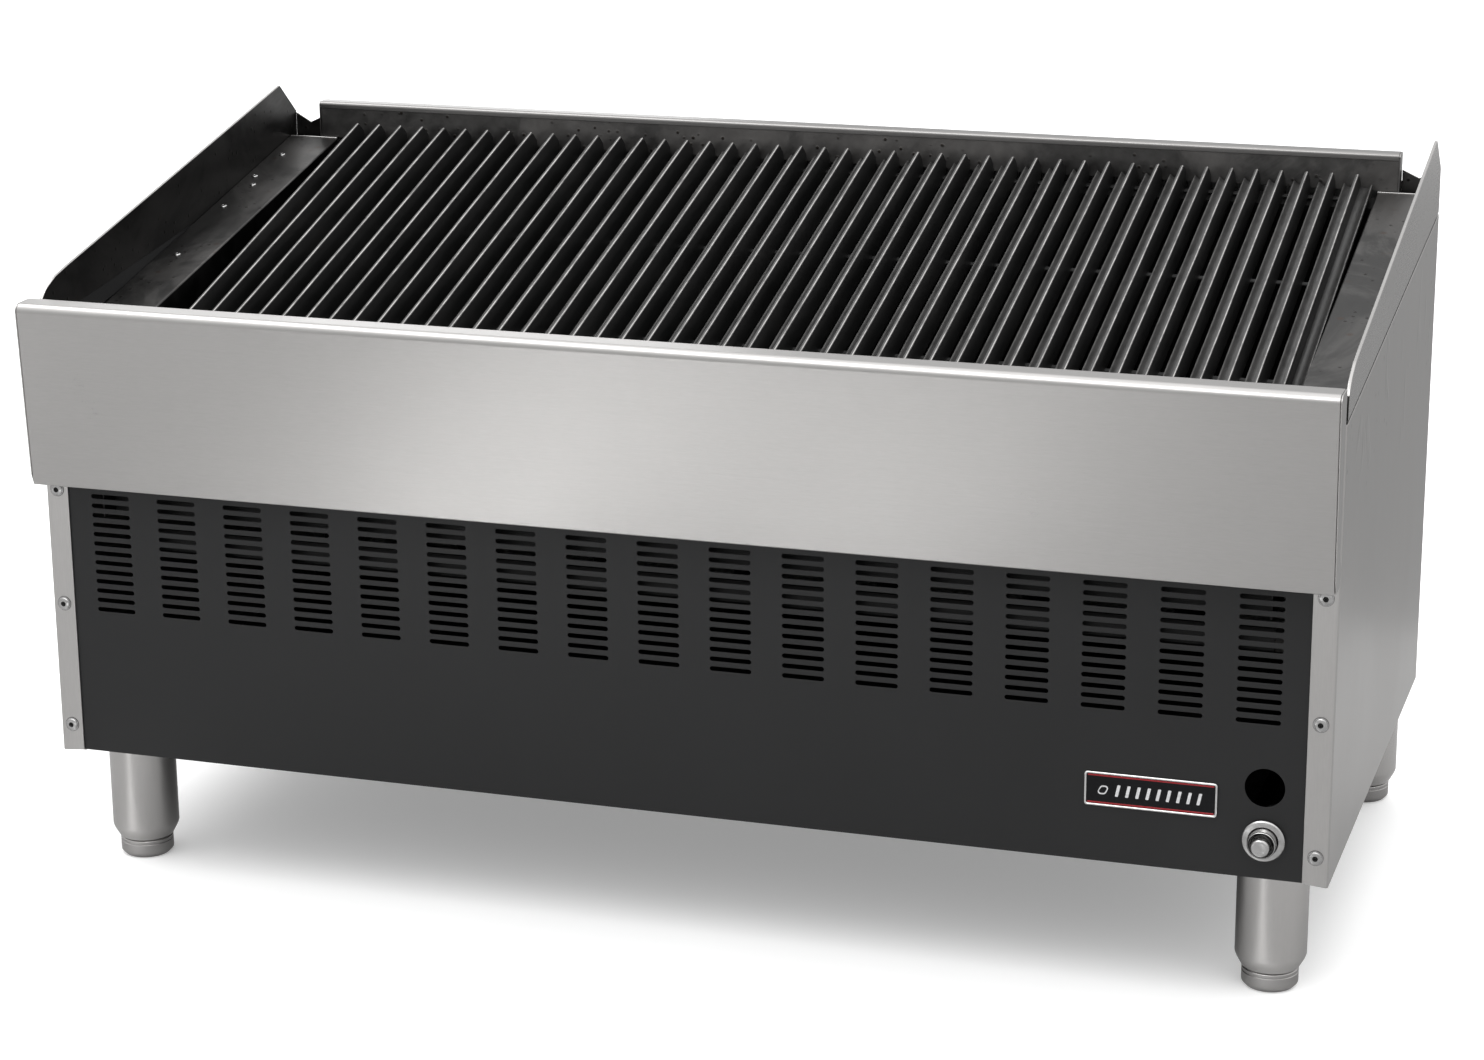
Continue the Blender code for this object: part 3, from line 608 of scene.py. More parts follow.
# ---- front rail
def build_rail():
    """Folded front rail: flat ledge, bull-nose, tall face leaning back to its foot, side returns."""
    nose = 0.0048                            # the rail's front line is this far under its top
    face_lean = (RAIL_FOOT - RAIL_FRONT) / (RAIL_TOP - nose - RAIL_BOTTOM)
    crest = RAIL_FRONT - face_lean * nose    # where the leaning face would meet the ledge
    outline = [(LEDGE_BACK, 0.3000), (LEDGE_BACK, RAIL_TOP), (crest, RAIL_TOP),
               (RAIL_FOOT, RAIL_BOTTOM), (-0.0004, RAIL_BOTTOM), (-0.0004, 0.2930)]
    smooth = rounded(outline, [0.0010, 0.0016, 0.0078, 0.0016, 0.0008, 0.0008], steps=12)
    cap = 0.0013
    seam = 0.0003
    work = bmesh.new()
    half = HALF - cap - seam
    side_prism(work, smooth, (-half, half))
    piece("front_rail_face", work, RAIL_STEEL, ["front_rail"], bevel=0.0007,
          segments=3, angle=40)
    work = bmesh.new()
    inner = rounded([(LEDGE_BACK, 0.3000), (LEDGE_BACK, RAIL_TOP - 0.0002),
                     (crest + 0.0002, RAIL_TOP - 0.0002), (RAIL_FOOT - 0.0006, RAIL_BOTTOM + 0.0100),
                     (RAIL_FOOT + 0.0030, RAIL_BOTTOM + 0.0008), (-0.0060, RAIL_BOTTOM + 0.0008),
                     (-0.0004, RAIL_BOTTOM + 0.0120), (-0.0004, 0.2930)],
                    [0.0010, 0.0016, 0.0076, 0.0010, 0.0010, 0.0010, 0.0010, 0.0008], steps=12)
    for sign in (-1, 1):
        side_prism(work, inner, (HALF - cap, HALF), sign)
    piece("front_rail_returns", work, RAIL_STEEL, bevel=0.0005, segments=3)


build_rail()


# ---- side panels and splashes
def build_side(label, sign):
    """Side panel bent at front, bottom and rear, and the flush splash plate above its seam."""
    bend = 0.0026
    slope = (SEAM_REAR - SEAM_FRONT) / DEPTH
    path = rounded([(HALF - STRIP, 0.0), (HALF, 0.0), (HALF, DEPTH), (HALF - STRIP, DEPTH)],
                   [0, bend, bend, 0], steps=6, closed=False)
    outline = folded(path, SHEET)

    def place(u, v, end):
        top = SEAM_FRONT + slope * v
        corner = max(0.0, HALF - STRIP + 0.003 - u) if end == 0.0 else 0.0
        return at(sign * u, v, top if end == 1.0 else corner * 0.6 + end * top)

    work = bmesh.new()
    prism(work, outline, place, (0.0, 0.5, 1.0))
    bottom = rectangle(HALF - STRIP, 0.0040, HALF - SHEET - 0.0002, DEPTH - 0.0040)
    prism(work, bottom, lambda u, v, end: at(sign * u, v, end), (0.0, SHEET))
    shell = piece("side_panel_%s_sheet" % label, work, SIDE_STEEL, ["side_panel_" + label],
                  bevel=0.0004)
    repaint(shell, STRIP_STEEL, lambda face: face.normal.y < -0.9)

    lip = 0.0017                             # gap of the seam under the splash
    tail = DEPTH - SHEET - GAP
    edge = [(0.0040, SEAM_FRONT + lip + slope * 0.0040), (0.0040, 0.4300), (0.0080, 0.4400),
            (0.0180, 0.4500), (0.0380, 0.4585), (0.0640, 0.4642), (0.5440, 0.5570),
            (tail, 0.5240), (tail, SEAM_REAR + lip)]
    smooth = rounded(edge, [0.001, 0.02, 0.02, 0.03, 0.05, 0.06, 0.0016, 0.002, 0.001], steps=6)
    work = bmesh.new()
    side_prism(work, smooth, (HALF - 0.0033, HALF - 0.0003), sign)
    # rear flange turned in to the back rail, its top cut to a shallow notch
    inner = BACK_HALF + 0.0004
    flange = [(HALF - 0.0036, SEAM_REAR - 0.0150), (HALF - 0.0036, 0.5225),
              (HALF - 0.0205, 0.5128), (inner, 0.5205), (inner, SEAM_REAR - 0.0150)]
    prism(work, flange, lambda u, v, end: at(sign * u, end, v), (tail - SHEET, tail))
    # dark step behind the seam, seen as its shadow line
    joggle = bmesh.new()
    tongue = [(0.0060, 0.4010), (0.0060, SEAM_FRONT + 0.0040), (tail - 0.0030, SEAM_REAR + 0.0030),
              (tail - 0.0030, SEAM_REAR - 0.0150)]
    side_prism(joggle, tongue, (HALF - 0.0031, HALF - 0.0019), sign)
    piece("splash_%s_joggle" % label, joggle, COAT)
    guard = piece("splash_%s_guard" % label, work, SPLASH_STEEL, ["splash_" + label],
                  bevel=0.0006, segments=3)
    # inner and front faces take the darker steel: a painted dark reflection of the grates
    repaint(guard, SPLASH_SHADE_STEEL, lambda face: face.normal.x * sign < -0.9 or face.normal.y < -0.9)


build_side("left", -1)
build_side("right", 1)


# ---- back rail and back panel
def build_back():
    """Back rail with its bright folded hem and end caps, and the slotted back panel."""
    hem, step = 0.0068, 0.0012               # depth of the hem, and how far the face sits behind it
    cap = 0.0016
    face = rectangle(BACK_FRONT + step, BACK_BOTTOM, BACK_REAR - 0.0004, BACK_TOP - 0.0020)
    top = [(BACK_FRONT, BACK_TOP - hem), (BACK_FRONT + step - 0.0002, BACK_TOP - hem),
           (BACK_FRONT + step - 0.0002, BACK_TOP - 0.0018), (BACK_REAR, BACK_TOP - 0.0018),
           (BACK_REAR, BACK_TOP), (BACK_FRONT, BACK_TOP)]
    work = bmesh.new()
    side_prism(work, face, (-BACK_HALF + cap, BACK_HALF - cap))
    piece("back_rail_face", work, BACK_STEEL, ["back_rail"], bevel=0.0003)
    work = bmesh.new()
    side_prism(work, rounded(top, [0.0004, 0.0001, 0.0001, 0.0002, 0.0008, 0.0034], steps=7),
               (-BACK_HALF + cap, BACK_HALF - cap))
    end_cap = rounded([(BACK_FRONT + 0.0002, BACK_BOTTOM), (BACK_REAR, BACK_BOTTOM),
                       (BACK_REAR, BACK_TOP - 0.0002), (BACK_FRONT + 0.0004, BACK_TOP - 0.0002)],
                      [0.0003, 0.0006, 0.0012, 0.0036], steps=7)
    for sign in (-1, 1):
        side_prism(work, end_cap, (BACK_HALF - cap + 0.0003, BACK_HALF), sign)
    # hem and end caps in the darker copy of the steel: painted shade
    piece("back_rail_cap", work, CAP_STEEL_SHADED, bevel=0.0003)

    node_low, node_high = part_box("back_panel")
    low, high = node_low.z - Z0, node_high.z - Z0
    half = node_high.x
    supply_x, supply_z = 0.5680, 0.2120
    border = rounded([(-half, low), (half, low), (half, 0.5030), (0.5760, high), (-0.5760, high),
                      (-half, 0.5030)], 0.002, steps=3)
    loops = [border, ring(supply_x, supply_z, 0.0160, 32)]
    columns, rows = 12, 5
    for column in range(columns):
        x = (column - (columns - 1) / 2) * 0.088
        for row in range(rows):
            loops.append(pill(x, 0.330 + row * 0.014, 0.056, 0.0050))
    work = from_curve("back_panel_sheet", loops, lambda u, v, w: at(u, DEPTH - SHEET / 2 - w, v),
                      SHEET, 0.0003)
    piece("back_panel_sheet", work, DULL, ["back_panel"])


def ring(cx, cy, radius, count):
    return [(cx + radius * math.cos(2 * math.pi * k / count),
             cy + radius * math.sin(2 * math.pi * k / count)) for k in range(count)]


def pill(cx, cy, width, height, steps=6):
    """Round-ended slot."""
    r = height / 2
    turns = [math.pi * (k / steps - 0.5) for k in range(steps + 1)]
    return [(cx + side * (width / 2 - r + r * math.cos(a)), cy + side * r * math.sin(a))
            for side in (1, -1) for a in turns]


build_back()


# ---- louvre panel
def build_louvres():
    """Black front panel with its slots, the sight hole and the igniter's hole."""
    loops = [rounded(rectangle(-PANEL_HALF, PANEL_BOTTOM, PANEL_HALF, PANEL_TOP), 0.001, steps=2)]
    for column in range(SLOT_COLUMNS):
        x = (column - (SLOT_COLUMNS - 1) / 2) * SLOT_PITCH_X
        for row in range(SLOT_ROWS):
            loops.append(pill(x, SLOT_TOP - row * SLOT_PITCH_Z, SLOT_WIDTH, SLOT_HEIGHT))
    loops.append(ring(*SIGHT_HOLE, 64))
    loops.append(ring(IGNITER_X, IGNITER_Z, 0.0138, 48))
    work = from_curve("louvre_panel_sheet", loops,
                      lambda u, v, w: at(u, PANEL_Y + SHEET / 2 - w, v), SHEET, 0.0005)
    piece("louvre_panel_sheet", work, COAT, ["louvre_panel"], angle=20)


build_louvres()


# ---- decks
def build_deck(label, sign):
    """Sloping deck sheet, folded down along the grates with a small bend, rear edge turned up."""
    bend = 0.0020
    path = rounded([(DECK_INNER, DECK_FLOOR - DECK_FRONT_Z), (DECK_INNER, 0.0), (DECK_OUTER, 0.0)],
                   [0, bend, 0], steps=5, closed=False)
    outline = folded(path, -SHEET)
    work = bmesh.new()

    def place(u, v, end):
        lift = DECK_SLOPE * end
        z = DECK_FLOOR if v <= DECK_FLOOR - DECK_FRONT_Z + 1e-6 else DECK_FRONT_Z + v + lift
        return at(sign * u, end, z)

    lip = 0.0016
    prism(work, outline, place, (DECK_Y0, DECK_Y1 - lip - 0.0002))
    sheet = piece("deck_%s_sheet" % label, work, DECK_STEELS[label], ["deck_" + label],
                  bevel=0.0003)
    repaint(sheet, SOOTED, lambda face: face.normal.y < -0.9 or abs(face.normal.x) > 0.9)
    # rolled rear edge, a thin bright line in front of the back rail
    z = deck_z(DECK_Y1 - lip)
    work = bmesh.new()
    hem = rounded(rectangle(DECK_Y1 - lip, z - 0.0060, DECK_Y1, z + 0.0010), 0.0007, steps=4)
    side_prism(work, hem, (DECK_INNER + 0.0006, DECK_OUTER - 0.0006), sign)
    piece("deck_%s_hem" % label, work, RAIL_STEEL)


build_deck("left", -1)
build_deck("right", 1)


# ---- top grates
def blade_section():
    """Cross-section of one blade and its gutter, as (u, v, wear): narrow flat top with worn edges,
    sides drawn out towards the foot, rounded trough on the left with a raised lip."""
    right = [(0.0022, -BLADE_HEIGHT, 0.0), (0.0022, -0.0120, 0.0), (0.0020, -0.0030, 0.0),
             (0.0019, -0.0014, 0.0), (0.0017, -0.0006, 0.36), (0.0013, -0.0001, 1.0),
             (0.0007, 0.0, 0.50), (0.0003, -0.0001, 0.05)]
    left = [(-0.0008, -0.0002, 0.07), (-0.0014, -0.0007, 0.04), (-0.0018, -0.0016, 0.0),
            (-0.0020, -0.0032, 0.0), (-0.0022, -0.0120, 0.0)]
    trough = [(-0.0024, -0.0163, 0.04), (-0.0036, -0.0180, 0.08), (-0.0058, -0.0190, 0.10),
              (-0.0086, -0.0188, 0.11), (-0.0108, -0.0176, 0.10), (-0.0122, -0.0159, 0.09),
              (-0.0132, -0.0151, 0.24), (-0.0141, -0.0153, 0.22), (-0.0145, -0.0166, 0.05),
              (-0.0140, -0.0196, 0.0), (-0.0120, -0.0217, 0.0), (-0.0070, -0.0228, 0.0),
              (-0.0026, -0.0238, 0.0), (-0.0022, -BLADE_HEIGHT, 0.0)]
    return right + left + trough


def edge_gutter_section():
    """The single low gutter beside the last blade of the row."""
    return [(0.0024, -0.0163, 0.04), (0.0036, -0.0180, 0.06), (0.0058, -0.0190, 0.06),
            (0.0086, -0.0188, 0.06), (0.0108, -0.0176, 0.06), (0.0122, -0.0159, 0.10),
            (0.0131, -0.0150, 0.55), (0.0137, -0.0150, 0.55), (0.0141, -0.0163, 0.1),
            (0.0138, -0.0196, 0.0), (0.0120, -0.0217, 0.0), (0.0070, -0.0228, 0.0),
            (0.0024, -0.0234, 0.0)]


def build_grate(number):
    """One casting, swept along the slope with a slight waver and tied by low cross bars."""
    slope = math.atan(GRATE_SLOPE)
    cos = math.cos(slope)
    length = (GRATE_Y1 - GRATE_Y0) / cos
    tip = (GRATE_TIP_Y - GRATE_Y0) / cos
    origin = at(FIRST_BLADE_X + number * BLADES * PITCH, GRATE_Y0, grate_top(GRATE_Y0))
    matrix = Matrix.Translation(origin) @ Matrix.Rotation(slope, 4, 'X')
    stations = [tip * k / 40 for k in range(41)] + [tip + 0.0022, tip + 0.0050, length]
    heel = 1.346                             # slope of the cut behind the tips
    work = bmesh.new()
    layer = work.verts.layers.float.new("wear")

    def sweep(section, shift, seed):
        rings = []
        for s in stations:
            drift = 0.00035 * noise.noise(Vector((seed * 3.7, s * 11.0, 0.3)))
            rise = 0.00018 * noise.noise(Vector((seed * 1.9, s * 17.0, 4.1)))
            cap = -heel * max(0.0, s - tip)
            ring_verts = []
            for u, v, wear in section:
                top = 1.0 + v / BLADE_HEIGHT
                height = min(v + min(rise, 0.0) * top, cap)
                vert = work.verts.new(matrix @ Vector((shift + u + drift * top, s, height)))
                vert[layer] = wear if s <= tip + 0.003 else wear * 0.4
                ring_verts.append(vert)
            rings.append(ring_verts)
        skin(work, rings)

    for index in range(BLADES):
        sweep(blade_section(), index * PITCH, number * BLADES + index)
    if number == GRATE_COUNT - 1:
        sweep(edge_gutter_section(), (BLADES - 1) * PITCH, 91.0)
    left, right = -GUTTER_REACH + 0.0015, (BLADES - 1) * PITCH + 0.0012
    for start in (0.0010, 0.18, 0.37, length - 0.0160):
        tie = rounded([(start, -BLADE_HEIGHT + 0.0002), (start + 0.007, -BLADE_HEIGHT + 0.0002),
                       (start + 0.006, -0.0248), (start + 0.001, -0.0248)], 0.0008, steps=3)
        prism(work, tie, lambda u, v, end: matrix @ Vector((end, u, v)), (left, right))
    name = "grate_%02d" % (number + 1)
    piece(name + "_casting", work, IRON, [name], body=name, angle=48)


for grate_number in range(GRATE_COUNT):
    build_grate(grate_number)


# ---- screws
def screw_head(work, matrix, radius, height, washer):
    """Pan head with a cross recess and, where asked, a thin washer under it."""
    steps = 40
    if washer:
        lathe(work, [(0.0, 0.0), (radius, 0.0), (radius, height * 0.16),
                     (radius * 0.96, height * 0.24), (0.0, height * 0.24)], steps, matrix)
    base = height * (0.26 if washer else 0.0)
    r = radius * (0.84 if washer else 1.0)
    depth = height * 0.45
    well = r * 0.42
    profile = [(0.0, base), (r, base), (r, base + (height - base) * 0.25)]
    for k in range(1, 7):
        a = math.pi / 2 * k / 7
        profile.append((well + (r - well) * math.cos(a),
                        base + (height - base) * (0.25 + 0.75 * math.sin(a))))
    profile += [(well, height), (well * 0.86, height - depth * 0.35), (well * 0.62, height - depth),
                (0.0, height - depth)]
    lathe(work, profile, steps, matrix)
    for quarter in range(4):
        turn = Matrix.Rotation(math.radians(45 + 90 * quarter), 4, 'Z')
        wedge = [(well * 0.10, height - depth * 0.98), (well * 0.95, height - depth * 0.98),
                 (well * 0.70, height - depth * 0.10), (well * 0.34, height - depth * 0.02)]
        prism(work, wedge, lambda u, v, end: matrix @ turn @ Vector((u, end, v)),
              (-well * 0.20, well * 0.20))


def screws(name, spots, radius, height, matrix_of, washer=True):
    """One piece holding a screw at each spot, with painted shade in the recesses and a painted shadow
    line round each head.
    """
    work = bmesh.new()
    matrices = [matrix_of(spot) for spot in spots]
    for matrix in matrices:
        screw_head(work, matrix, radius, height, washer)
    made = piece(name, work, SCREW_STEEL, angle=40)

    def shadowed(face):
        for matrix in matrices:
            local = matrix.inverted() @ face.center
            reach = math.hypot(local.x, local.y)
            if reach < radius * 1.3 and abs(local.z) < height * 2:
                return reach < radius * 0.36 or (reach > radius * 0.83 and local.z < height * 0.3)
        return False

    repaint(made, SCREW_SHADE, shadowed)


for side_label, side_sign in (("left", -1), ("right", 1)):
    screws("strip_screws_" + side_label,
           [at(side_sign * SCREW_X, 0.0, z) for z in SCREW_Z], 0.0070, 0.0026,
           lambda spot: Matrix.Translation(spot) @ TO_FRONT
           @ Matrix.Rotation(spot.z * 9.0 + spot.x, 4, 'Z'))

DECK_TILT = Matrix.Rotation(math.atan(DECK_SLOPE), 4, 'X')


def on_deck(spot):
    """Placing of a deck screw at (x, y), square to the slope."""
    x, y = spot
    spin = Matrix.Rotation(y * 40, 4, 'Z')
    return Matrix.Translation(at(x, y, deck_z(y) - 0.0001)) @ DECK_TILT @ spin


screws("deck_screws_left", [(-0.592, 0.512), (-0.596, 0.452), (-0.588, 0.430), (-0.594, 0.372),
                            (-0.587, 0.250), (-0.596, 0.120)], 0.0034, 0.0014, on_deck, washer=False)
back_half = HALF - 0.0115
screws("back_screws", [at(sign * back_half, DEPTH, z) for sign in (-1, 1)
                       for z in (0.030, 0.150, 0.270, 0.390)], 0.0052, 0.0022,
       lambda spot: Matrix.Translation(spot) @ TO_BACK @ Matrix.Rotation(spot.z * 7.0, 4, 'Z'))


# ---- nameplate
def build_nameplate():
    """Chrome-framed black plate with two red rules and a plain row of slanted bars."""
    front = plate_low.y - Y0
    outer = rounded(rectangle(-PLATE_HALF_X, -PLATE_HALF_Z, PLATE_HALF_X, PLATE_HALF_Z), 0.0030,
                    steps=6)
    rim = 0.0024
    across, up = PLATE_HALF_X - rim, PLATE_HALF_Z - rim
    inner = rounded(rectangle(-across, -up, across, up), 0.0012, steps=6)

    def place(u, v, depth):
        return at(PLATE_X + u, depth, PLATE_Z + v)

    work = bmesh.new()
    # frame: outer ring, crown and inner ring swept round the plate
    rings = []
    for mix, depth in ((0.0, PANEL_Y - GAP), (0.0, front - 0.0002), (0.14, front - 0.0009),
                       (0.38, front - 0.0013), (0.62, front - 0.0013), (0.86, front - 0.0009),
                       (1.0, front - 0.0002), (1.0, PANEL_Y - GAP)):
        rings.append([work.verts.new(place(*Vector(a).lerp(Vector(b), mix), depth))
                      for a, b in zip(outer, inner)])
    skin(work, rings, looped=True)
    piece("nameplate_frame", work, CHROME, angle=50)

    work = bmesh.new()
    field = [(u * 0.995, v * 0.985) for u, v in inner]
    prism(work, field, place, (PANEL_Y - GAP, front))
    piece("nameplate_field", work, ENAMEL, ["nameplate"])

    work = bmesh.new()
    reach = across - 0.0007
    for sign in (-1, 1):
        low, high = sorted((sign * (up - 0.0017), sign * (up - 0.0003)))
        prism(work, rectangle(-reach, low, reach, high), place, (front, front - 0.00025))
    piece("nameplate_rules", work, RED, bevel=0.0001)

    work = bmesh.new()
    for index in range(9):
        u = -0.030 + index * 0.0090
        lean = 0.0022
        bar = rounded([(u - 0.0014, -0.0058), (u + 0.0014, -0.0058), (u + 0.0014 + lean, 0.0050),
                       (u - 0.0014 + lean, 0.0050)], 0.0006, steps=3)
        prism(work, bar, place, (front, front - 0.0004))
    bow = rounded([(-0.0480, -0.0048), (-0.0400, -0.0048), (-0.0360, 0.0034), (-0.0440, 0.0034)],
                  0.0030, steps=5)
    hollow = rounded([(-0.0470, -0.0036), (-0.0408, -0.0036), (-0.0374, 0.0022), (-0.0432, 0.0022)],
                     0.0022, steps=5)
    rings = [[work.verts.new(place(u, v, depth)) for u, v in outline]
             for outline, depth in ((bow, front), (bow, front - 0.0004), (hollow, front - 0.0004),
                                    (hollow, front))]
    skin(work, rings, looped=True)
    piece("nameplate_bars", work, SILVER, bevel=0.0001)


build_nameplate()


# ---- igniter
def build_igniter():
    """Push button in a threaded sleeve, with the ring nut in front of the panel."""
    steps = 72

    def axis(y):
        return Matrix.Translation(at(IGNITER_X, y, IGNITER_Z)) @ TO_FRONT

    work = bmesh.new()
    lathe(work, rounded([(0.0132, 0.0), (0.0190, 0.0), (0.0190, 0.0034), (0.0179, 0.0046),
                         (0.0138, 0.0054), (0.0132, 0.0048)],
                        [0.0001, 0.0003, 0.0008, 0.0008, 0.0004, 0.0003], steps=4), steps,
          axis(PANEL_Y - GAP))
    piece("igniter_bezel_ring", work, NICKEL, ["igniter_bezel"], angle=50)

    low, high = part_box("igniter_sleeve")
    reach = high.y - low.y
    turns, start = 12, 0.0040
    step = (0.0270 - start) / turns
    profile = [(0.0, 0.0), (0.0134, 0.0), (0.0134, start)]
    for k in range(turns):
        z = start + k * step
        profile += [(0.0126, z + step * 0.25), (0.0134, z + step * 0.60), (0.0134, z + step * 0.85)]
    profile += [(0.0126, 0.0275), (0.0126, reach - 0.0014), (0.0122, reach - 0.0004),
                (0.0117, reach), (0.0111, reach - 0.0004), (0.0108, reach - 0.0020)]
    for k in range(6):
        z = reach - 0.0026 - k * 0.0014
        profile += [(0.0107, z), (0.0099, z - 0.0007)]
    profile += [(0.0096, 0.0040), (0.0, 0.0040)]
    work = bmesh.new()
    lathe(work, profile, steps, axis(high.y - Y0))
    piece("igniter_sleeve_collar", work, NICKEL, ["igniter_sleeve"], angle=60)

    low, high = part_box("igniter_button")
    reach = high.y - low.y
    work = bmesh.new()
    lathe(work, [(0.0, 0.0), (0.0090, 0.0), (0.0090, reach - 0.0100), (0.0086, reach - 0.0096),
                 (0.0086, reach - 0.0034), (0.0082, reach - 0.0016), (0.0072, reach - 0.0004),
                 (0.0064, reach), (0.0052, reach), (0.0046, reach - 0.0005), (0.0, reach - 0.0006)],
          steps, axis(high.y - Y0))
    piece("igniter_button_cap", work, NICKEL, ["igniter_button"], body="igniter_button",
          angle=50)


build_igniter()


# ---- legs and feet
def build_leg(label):
    """Round leg drawn in at its foot, and the adjustable foot under it."""
    leg_low, leg_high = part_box("leg_" + label)
    stud_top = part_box("foot_" + label)[1].z
    centre = (leg_low + leg_high) / 2
    top, low = leg_high.z, leg_low.z
    axis = Matrix.Translation((centre.x, centre.y, 0.0))
    radius = 0.0320
    steps = 96
    outline = [(0.0, top), (0.0370, top), (0.0370, top - 0.0030), (radius, top - 0.0030),
               (radius, low + 0.0125), (radius - 0.0015, low + 0.0085), (radius - 0.0062, low),
               (0.0105, low), (0.0105, low + 0.0600), (0.0, low + 0.0600)]
    shaped = rounded(outline, [0, 0.0006, 0.0006, 0.0012, 0.0060, 0.0050, 0.0016, 0.0004, 0.0004, 0],
                     steps=6, closed=False)
    work = bmesh.new()
    lathe(work, shaped, steps, axis)
    # the tube takes the lightened leg steel: a painted highlight
    piece("leg_%s_tube" % label, work, LEG_STEEL, ["leg_" + label], angle=40)

    foot_top = low - 0.0008
    outer = 0.0254
    outline = [(0.0, 0.0), (0.0215, 0.0), (outer, 0.0040), (outer, foot_top - 0.0046),
               (outer - 0.0005, foot_top - 0.0042), (outer - 0.0005, foot_top - 0.0036),
               (outer, foot_top - 0.0032), (outer, foot_top - 0.0010), (outer - 0.0010, foot_top),
               (0.0094, foot_top), (0.0094, stud_top), (0.0, stud_top)]
    shaped = rounded(outline, [0, 0.0020, 0.0030, 0.0002, 0.0001, 0.0001, 0.0002, 0.0006, 0.0006,
                               0.0004, 0.0004, 0], steps=5, closed=False)
    work = bmesh.new()
    lathe(work, shaped, steps, axis)
    # the cup takes the darker foot steel: painted shade
    piece("foot_%s_cup" % label, work, FOOT_STEEL, ["foot_" + label], body="foot_" + label,
          angle=40)


for corner_label in ("front_left", "front_right", "rear_left", "rear_right"):
    build_leg(corner_label)


# ---- carried-over CAD pieces
def dress(names, material, bevel=0.0):
    """Gives CAD pieces that are shown as they are a material and small rounded edges."""
    for name in names:
        obj = NODES[name]
        obj.data.materials.clear()
        obj.data.materials.append(material)
        if bevel:
            round_edges(obj, bevel, 2, angle=35.0)


EDGE = 0.0003
dress(["base_pan", "burner_rest", "drip_pan", "firebox_rear"], SOOTED, EDGE)
dress(["firebox_front", "gas_manifold"], SOOT, EDGE)
for burner_number in range(1, 9):
    dress(["radiant_%d" % burner_number, "burner_%d" % burner_number], IRON_PLAIN, EDGE)
dress(["supply_pipe"], PIPE, EDGE)
dress(["pilot_tube"], TUBE)
dress(["igniter_body"], PLASTIC, 0.0004)


# ---- stage, light and camera
def softbox(name, place, aim, width, height, power, gloss=True, only=None):
    """Rectangular area light; gloss says whether reflections see it, only limits it to one object."""
    data = bpy.data.lights.new(name, 'AREA')
    data.shape = 'RECTANGLE'
    data.size = width
    data.size_y = height
    data.energy = power
    light = bpy.data.objects.new(name, data)
    light.location = place
    light.rotation_euler = (Vector(aim) - Vector(place)).to_track_quat('-Z', 'Y').to_euler()
    light.visible_camera = False
    light.visible_glossy = gloss
    bpy.context.scene.collection.objects.link(light)
    if only is not None:
        receivers = bpy.data.collections.new(name + "_receivers")
        receivers.objects.link(only)
        light.light_linking.receiver_collection = receivers
    return light


def paper(name, height, albedo, glow=0.0, size=30.0, centre=(0.0, 0.0)):
    work = bmesh.new()
    bmesh.ops.create_grid(work, x_segments=8, y_segments=8, size=size,
                          matrix=Matrix.Translation((*centre, height)))
    mesh = bpy.data.meshes.new(name)
    work.to_mesh(mesh)
    work.free()
    sheet = bpy.data.objects.new(name, mesh)
    bpy.context.scene.collection.objects.link(sheet)
    s = Shader(name + "_paper")
    speck = s.grain(3.0, detail=2.0)
    base = s.spread(speck, albedo * 0.985, albedo * 1.015)
    s.bsdf.inputs["Emission Color"].default_value = (1.0, 1.0, 1.0, 1.0)
    s.bsdf.inputs["Emission Strength"].default_value = glow
    mesh.materials.append(s.finish(base, s.spread(speck, 0.92, 0.97), specular=0.0))
    return sheet


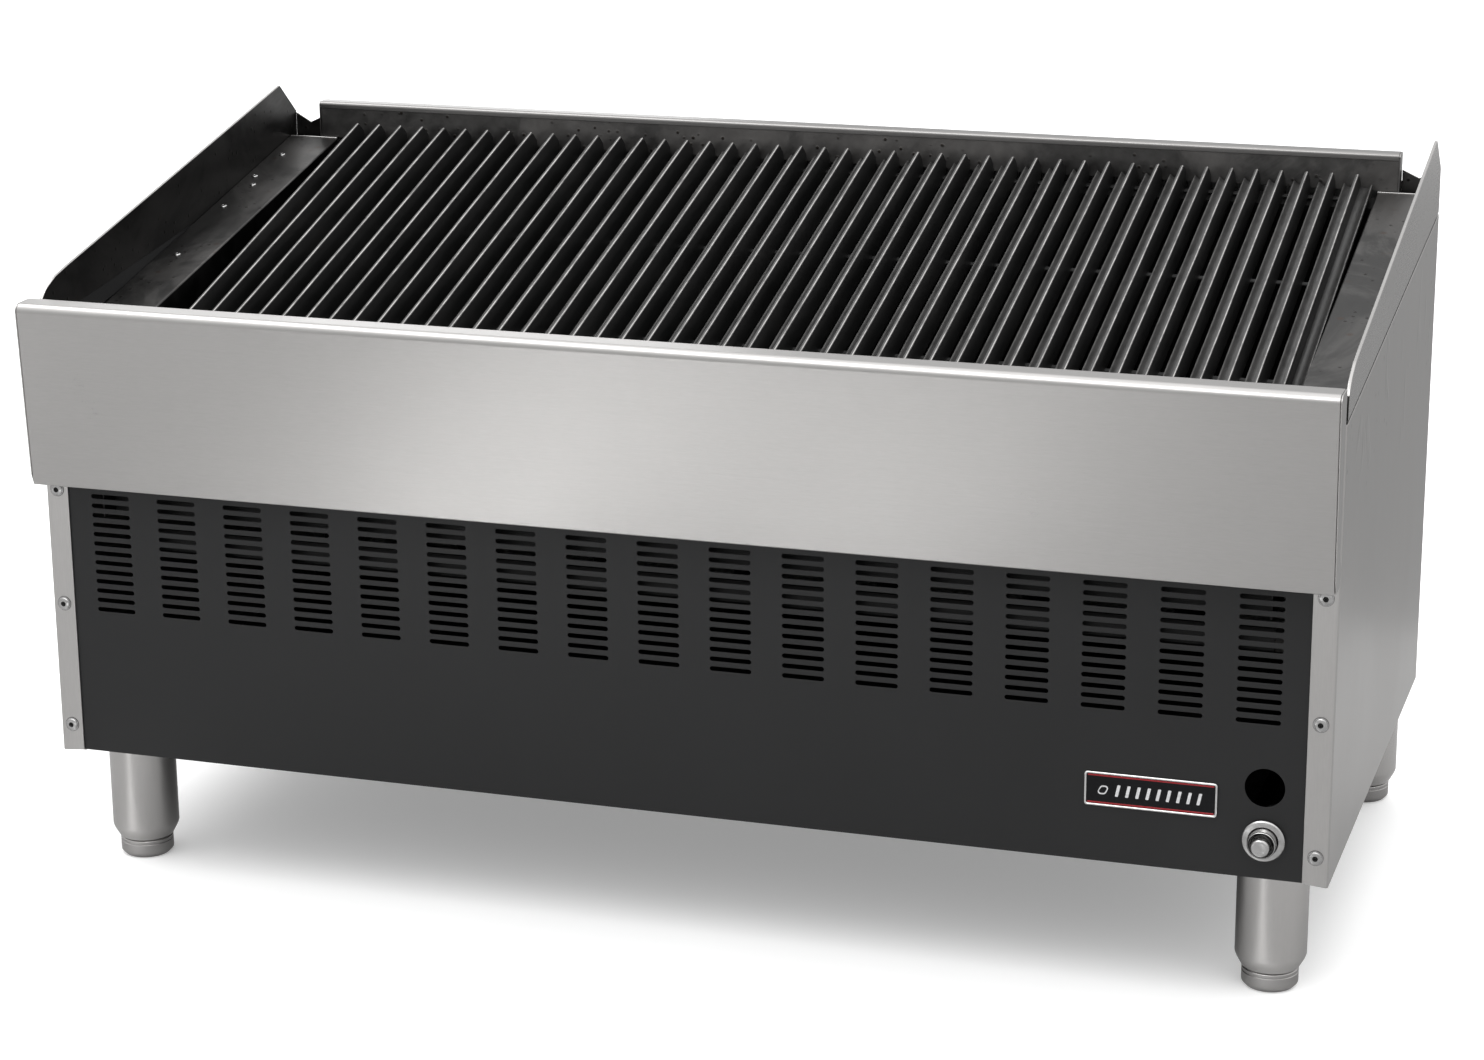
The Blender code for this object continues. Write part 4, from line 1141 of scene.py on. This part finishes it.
def build_stage():
    """White paper floor. The camera sees one sheet, over-lit as in a cut-out picture; reflections
    and bounced light see a second, less bright sheet in the same place."""
    floor = paper("floor", 0.0, 0.88, glow=0.25)
    floor.visible_glossy = False
    floor.visible_diffuse = False
    floor.visible_shadow = False
    bounce = paper("bounce_floor", -0.0006, 0.49)
    bounce.visible_camera = False
    bounce.visible_shadow = False

    world = bpy.data.worlds.new("studio")
    bpy.context.scene.world = world
    world.use_nodes = True
    tree = world.node_tree
    sky = tree.nodes["Background"]
    coord = tree.nodes.new("ShaderNodeTexCoord")
    split = tree.nodes.new("ShaderNodeSeparateXYZ")
    tree.links.new(coord.outputs["Generated"], split.inputs[0])
    dome = ramp_through(tree, split.outputs["Z"],
                        ((0.0, 0.38), (0.32, 0.44), (0.60, 0.62), (0.85, 1.0)))
    tree.links.new(dome, sky.inputs["Color"])
    sky.inputs["Strength"].default_value = 1.87

    softbox("floor_light", (-1.2, 0.0, 3.6), (-1.2, 0.0, 0.0), 6.0, 6.0, 74.0, gloss=False,
            only=floor)
    # pools of light on the paper in front, outside the picture: the soft bands on the rail's face
    for name, x, width, power in (("left", -1.50, 0.15, 1.1), ("middle", -0.52, 0.18, 4.4),
                                  ("right", -0.05, 0.18, 2.2)):
        softbox("pool_" + name, (x, -1.45, 0.15), (x, -1.45, 0.0), width, 0.90, power, gloss=False,
                only=bounce)
    # narrow strips of light on the paper beside the front legs: the upright line each leg mirrors
    for label in ("front_left", "front_right"):
        low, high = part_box("leg_" + label)
        spot = Vector(((low.x + high.x) / 2, low.y, 0.04)) + Vector((-0.39, -0.92, 0.0)) * 0.22
        strip = softbox("glint_" + label, spot, (spot.x, spot.y, 0.0), 0.05, 0.42, 0.13, gloss=False,
                        only=bounce)
        strip.rotation_euler = (0.0, 0.0, math.radians(-23.0))
    # long bank overhead, seen only in reflections: the white lines along folds and blade edges
    bank = softbox("overhead_bank", (-0.67, -0.96, 2.6), (0.0, -0.3, 0.5), 4.6, 0.9, 38.0)
    bank.visible_diffuse = False
    softbox("rear_strip", (-1.5, 2.6, 1.3), (0.0, 0.0, 0.5), 1.2, 0.9, 4.4)
    # darker card on the paper behind the right side, seen only in reflections: painted shade on the
    # floor, which the side panel mirrors
    shade_sheet = paper("painted_shade_card", 0.0008, 0.27, size=1.5, centre=(2.20, 2.30))
    shade_sheet.visible_camera = False
    shade_sheet.visible_diffuse = False
    shade_sheet.visible_shadow = False


def build_camera():
    """Long lens at the front right, looking down on the grates."""
    yaw, pitch, roll = (math.radians(v) for v in (17.89, 16.65, -0.44))
    forward = Vector((-math.sin(yaw) * math.cos(pitch), math.cos(yaw) * math.cos(pitch),
                      -math.sin(pitch)))
    right = Vector((math.cos(yaw), math.sin(yaw), 0.0))
    up = right.cross(forward)
    x_axis = right * math.cos(roll) + up * math.sin(roll)
    y_axis = up * math.cos(roll) - right * math.sin(roll)
    data = bpy.data.cameras.new("camera")
    data.sensor_width = 36.0
    data.lens = 85.57
    camera = bpy.data.objects.new("camera", data)
    basis = Matrix((x_axis, y_axis, -forward)).transposed()
    camera.matrix_world = Matrix.Translation((0.9996, -3.1408, 1.2922)) @ basis.to_4x4()
    bpy.context.scene.collection.objects.link(camera)
    bpy.context.scene.camera = camera


build_stage()
build_camera()
bpy.context.scene.view_settings.view_transform = 'Standard'
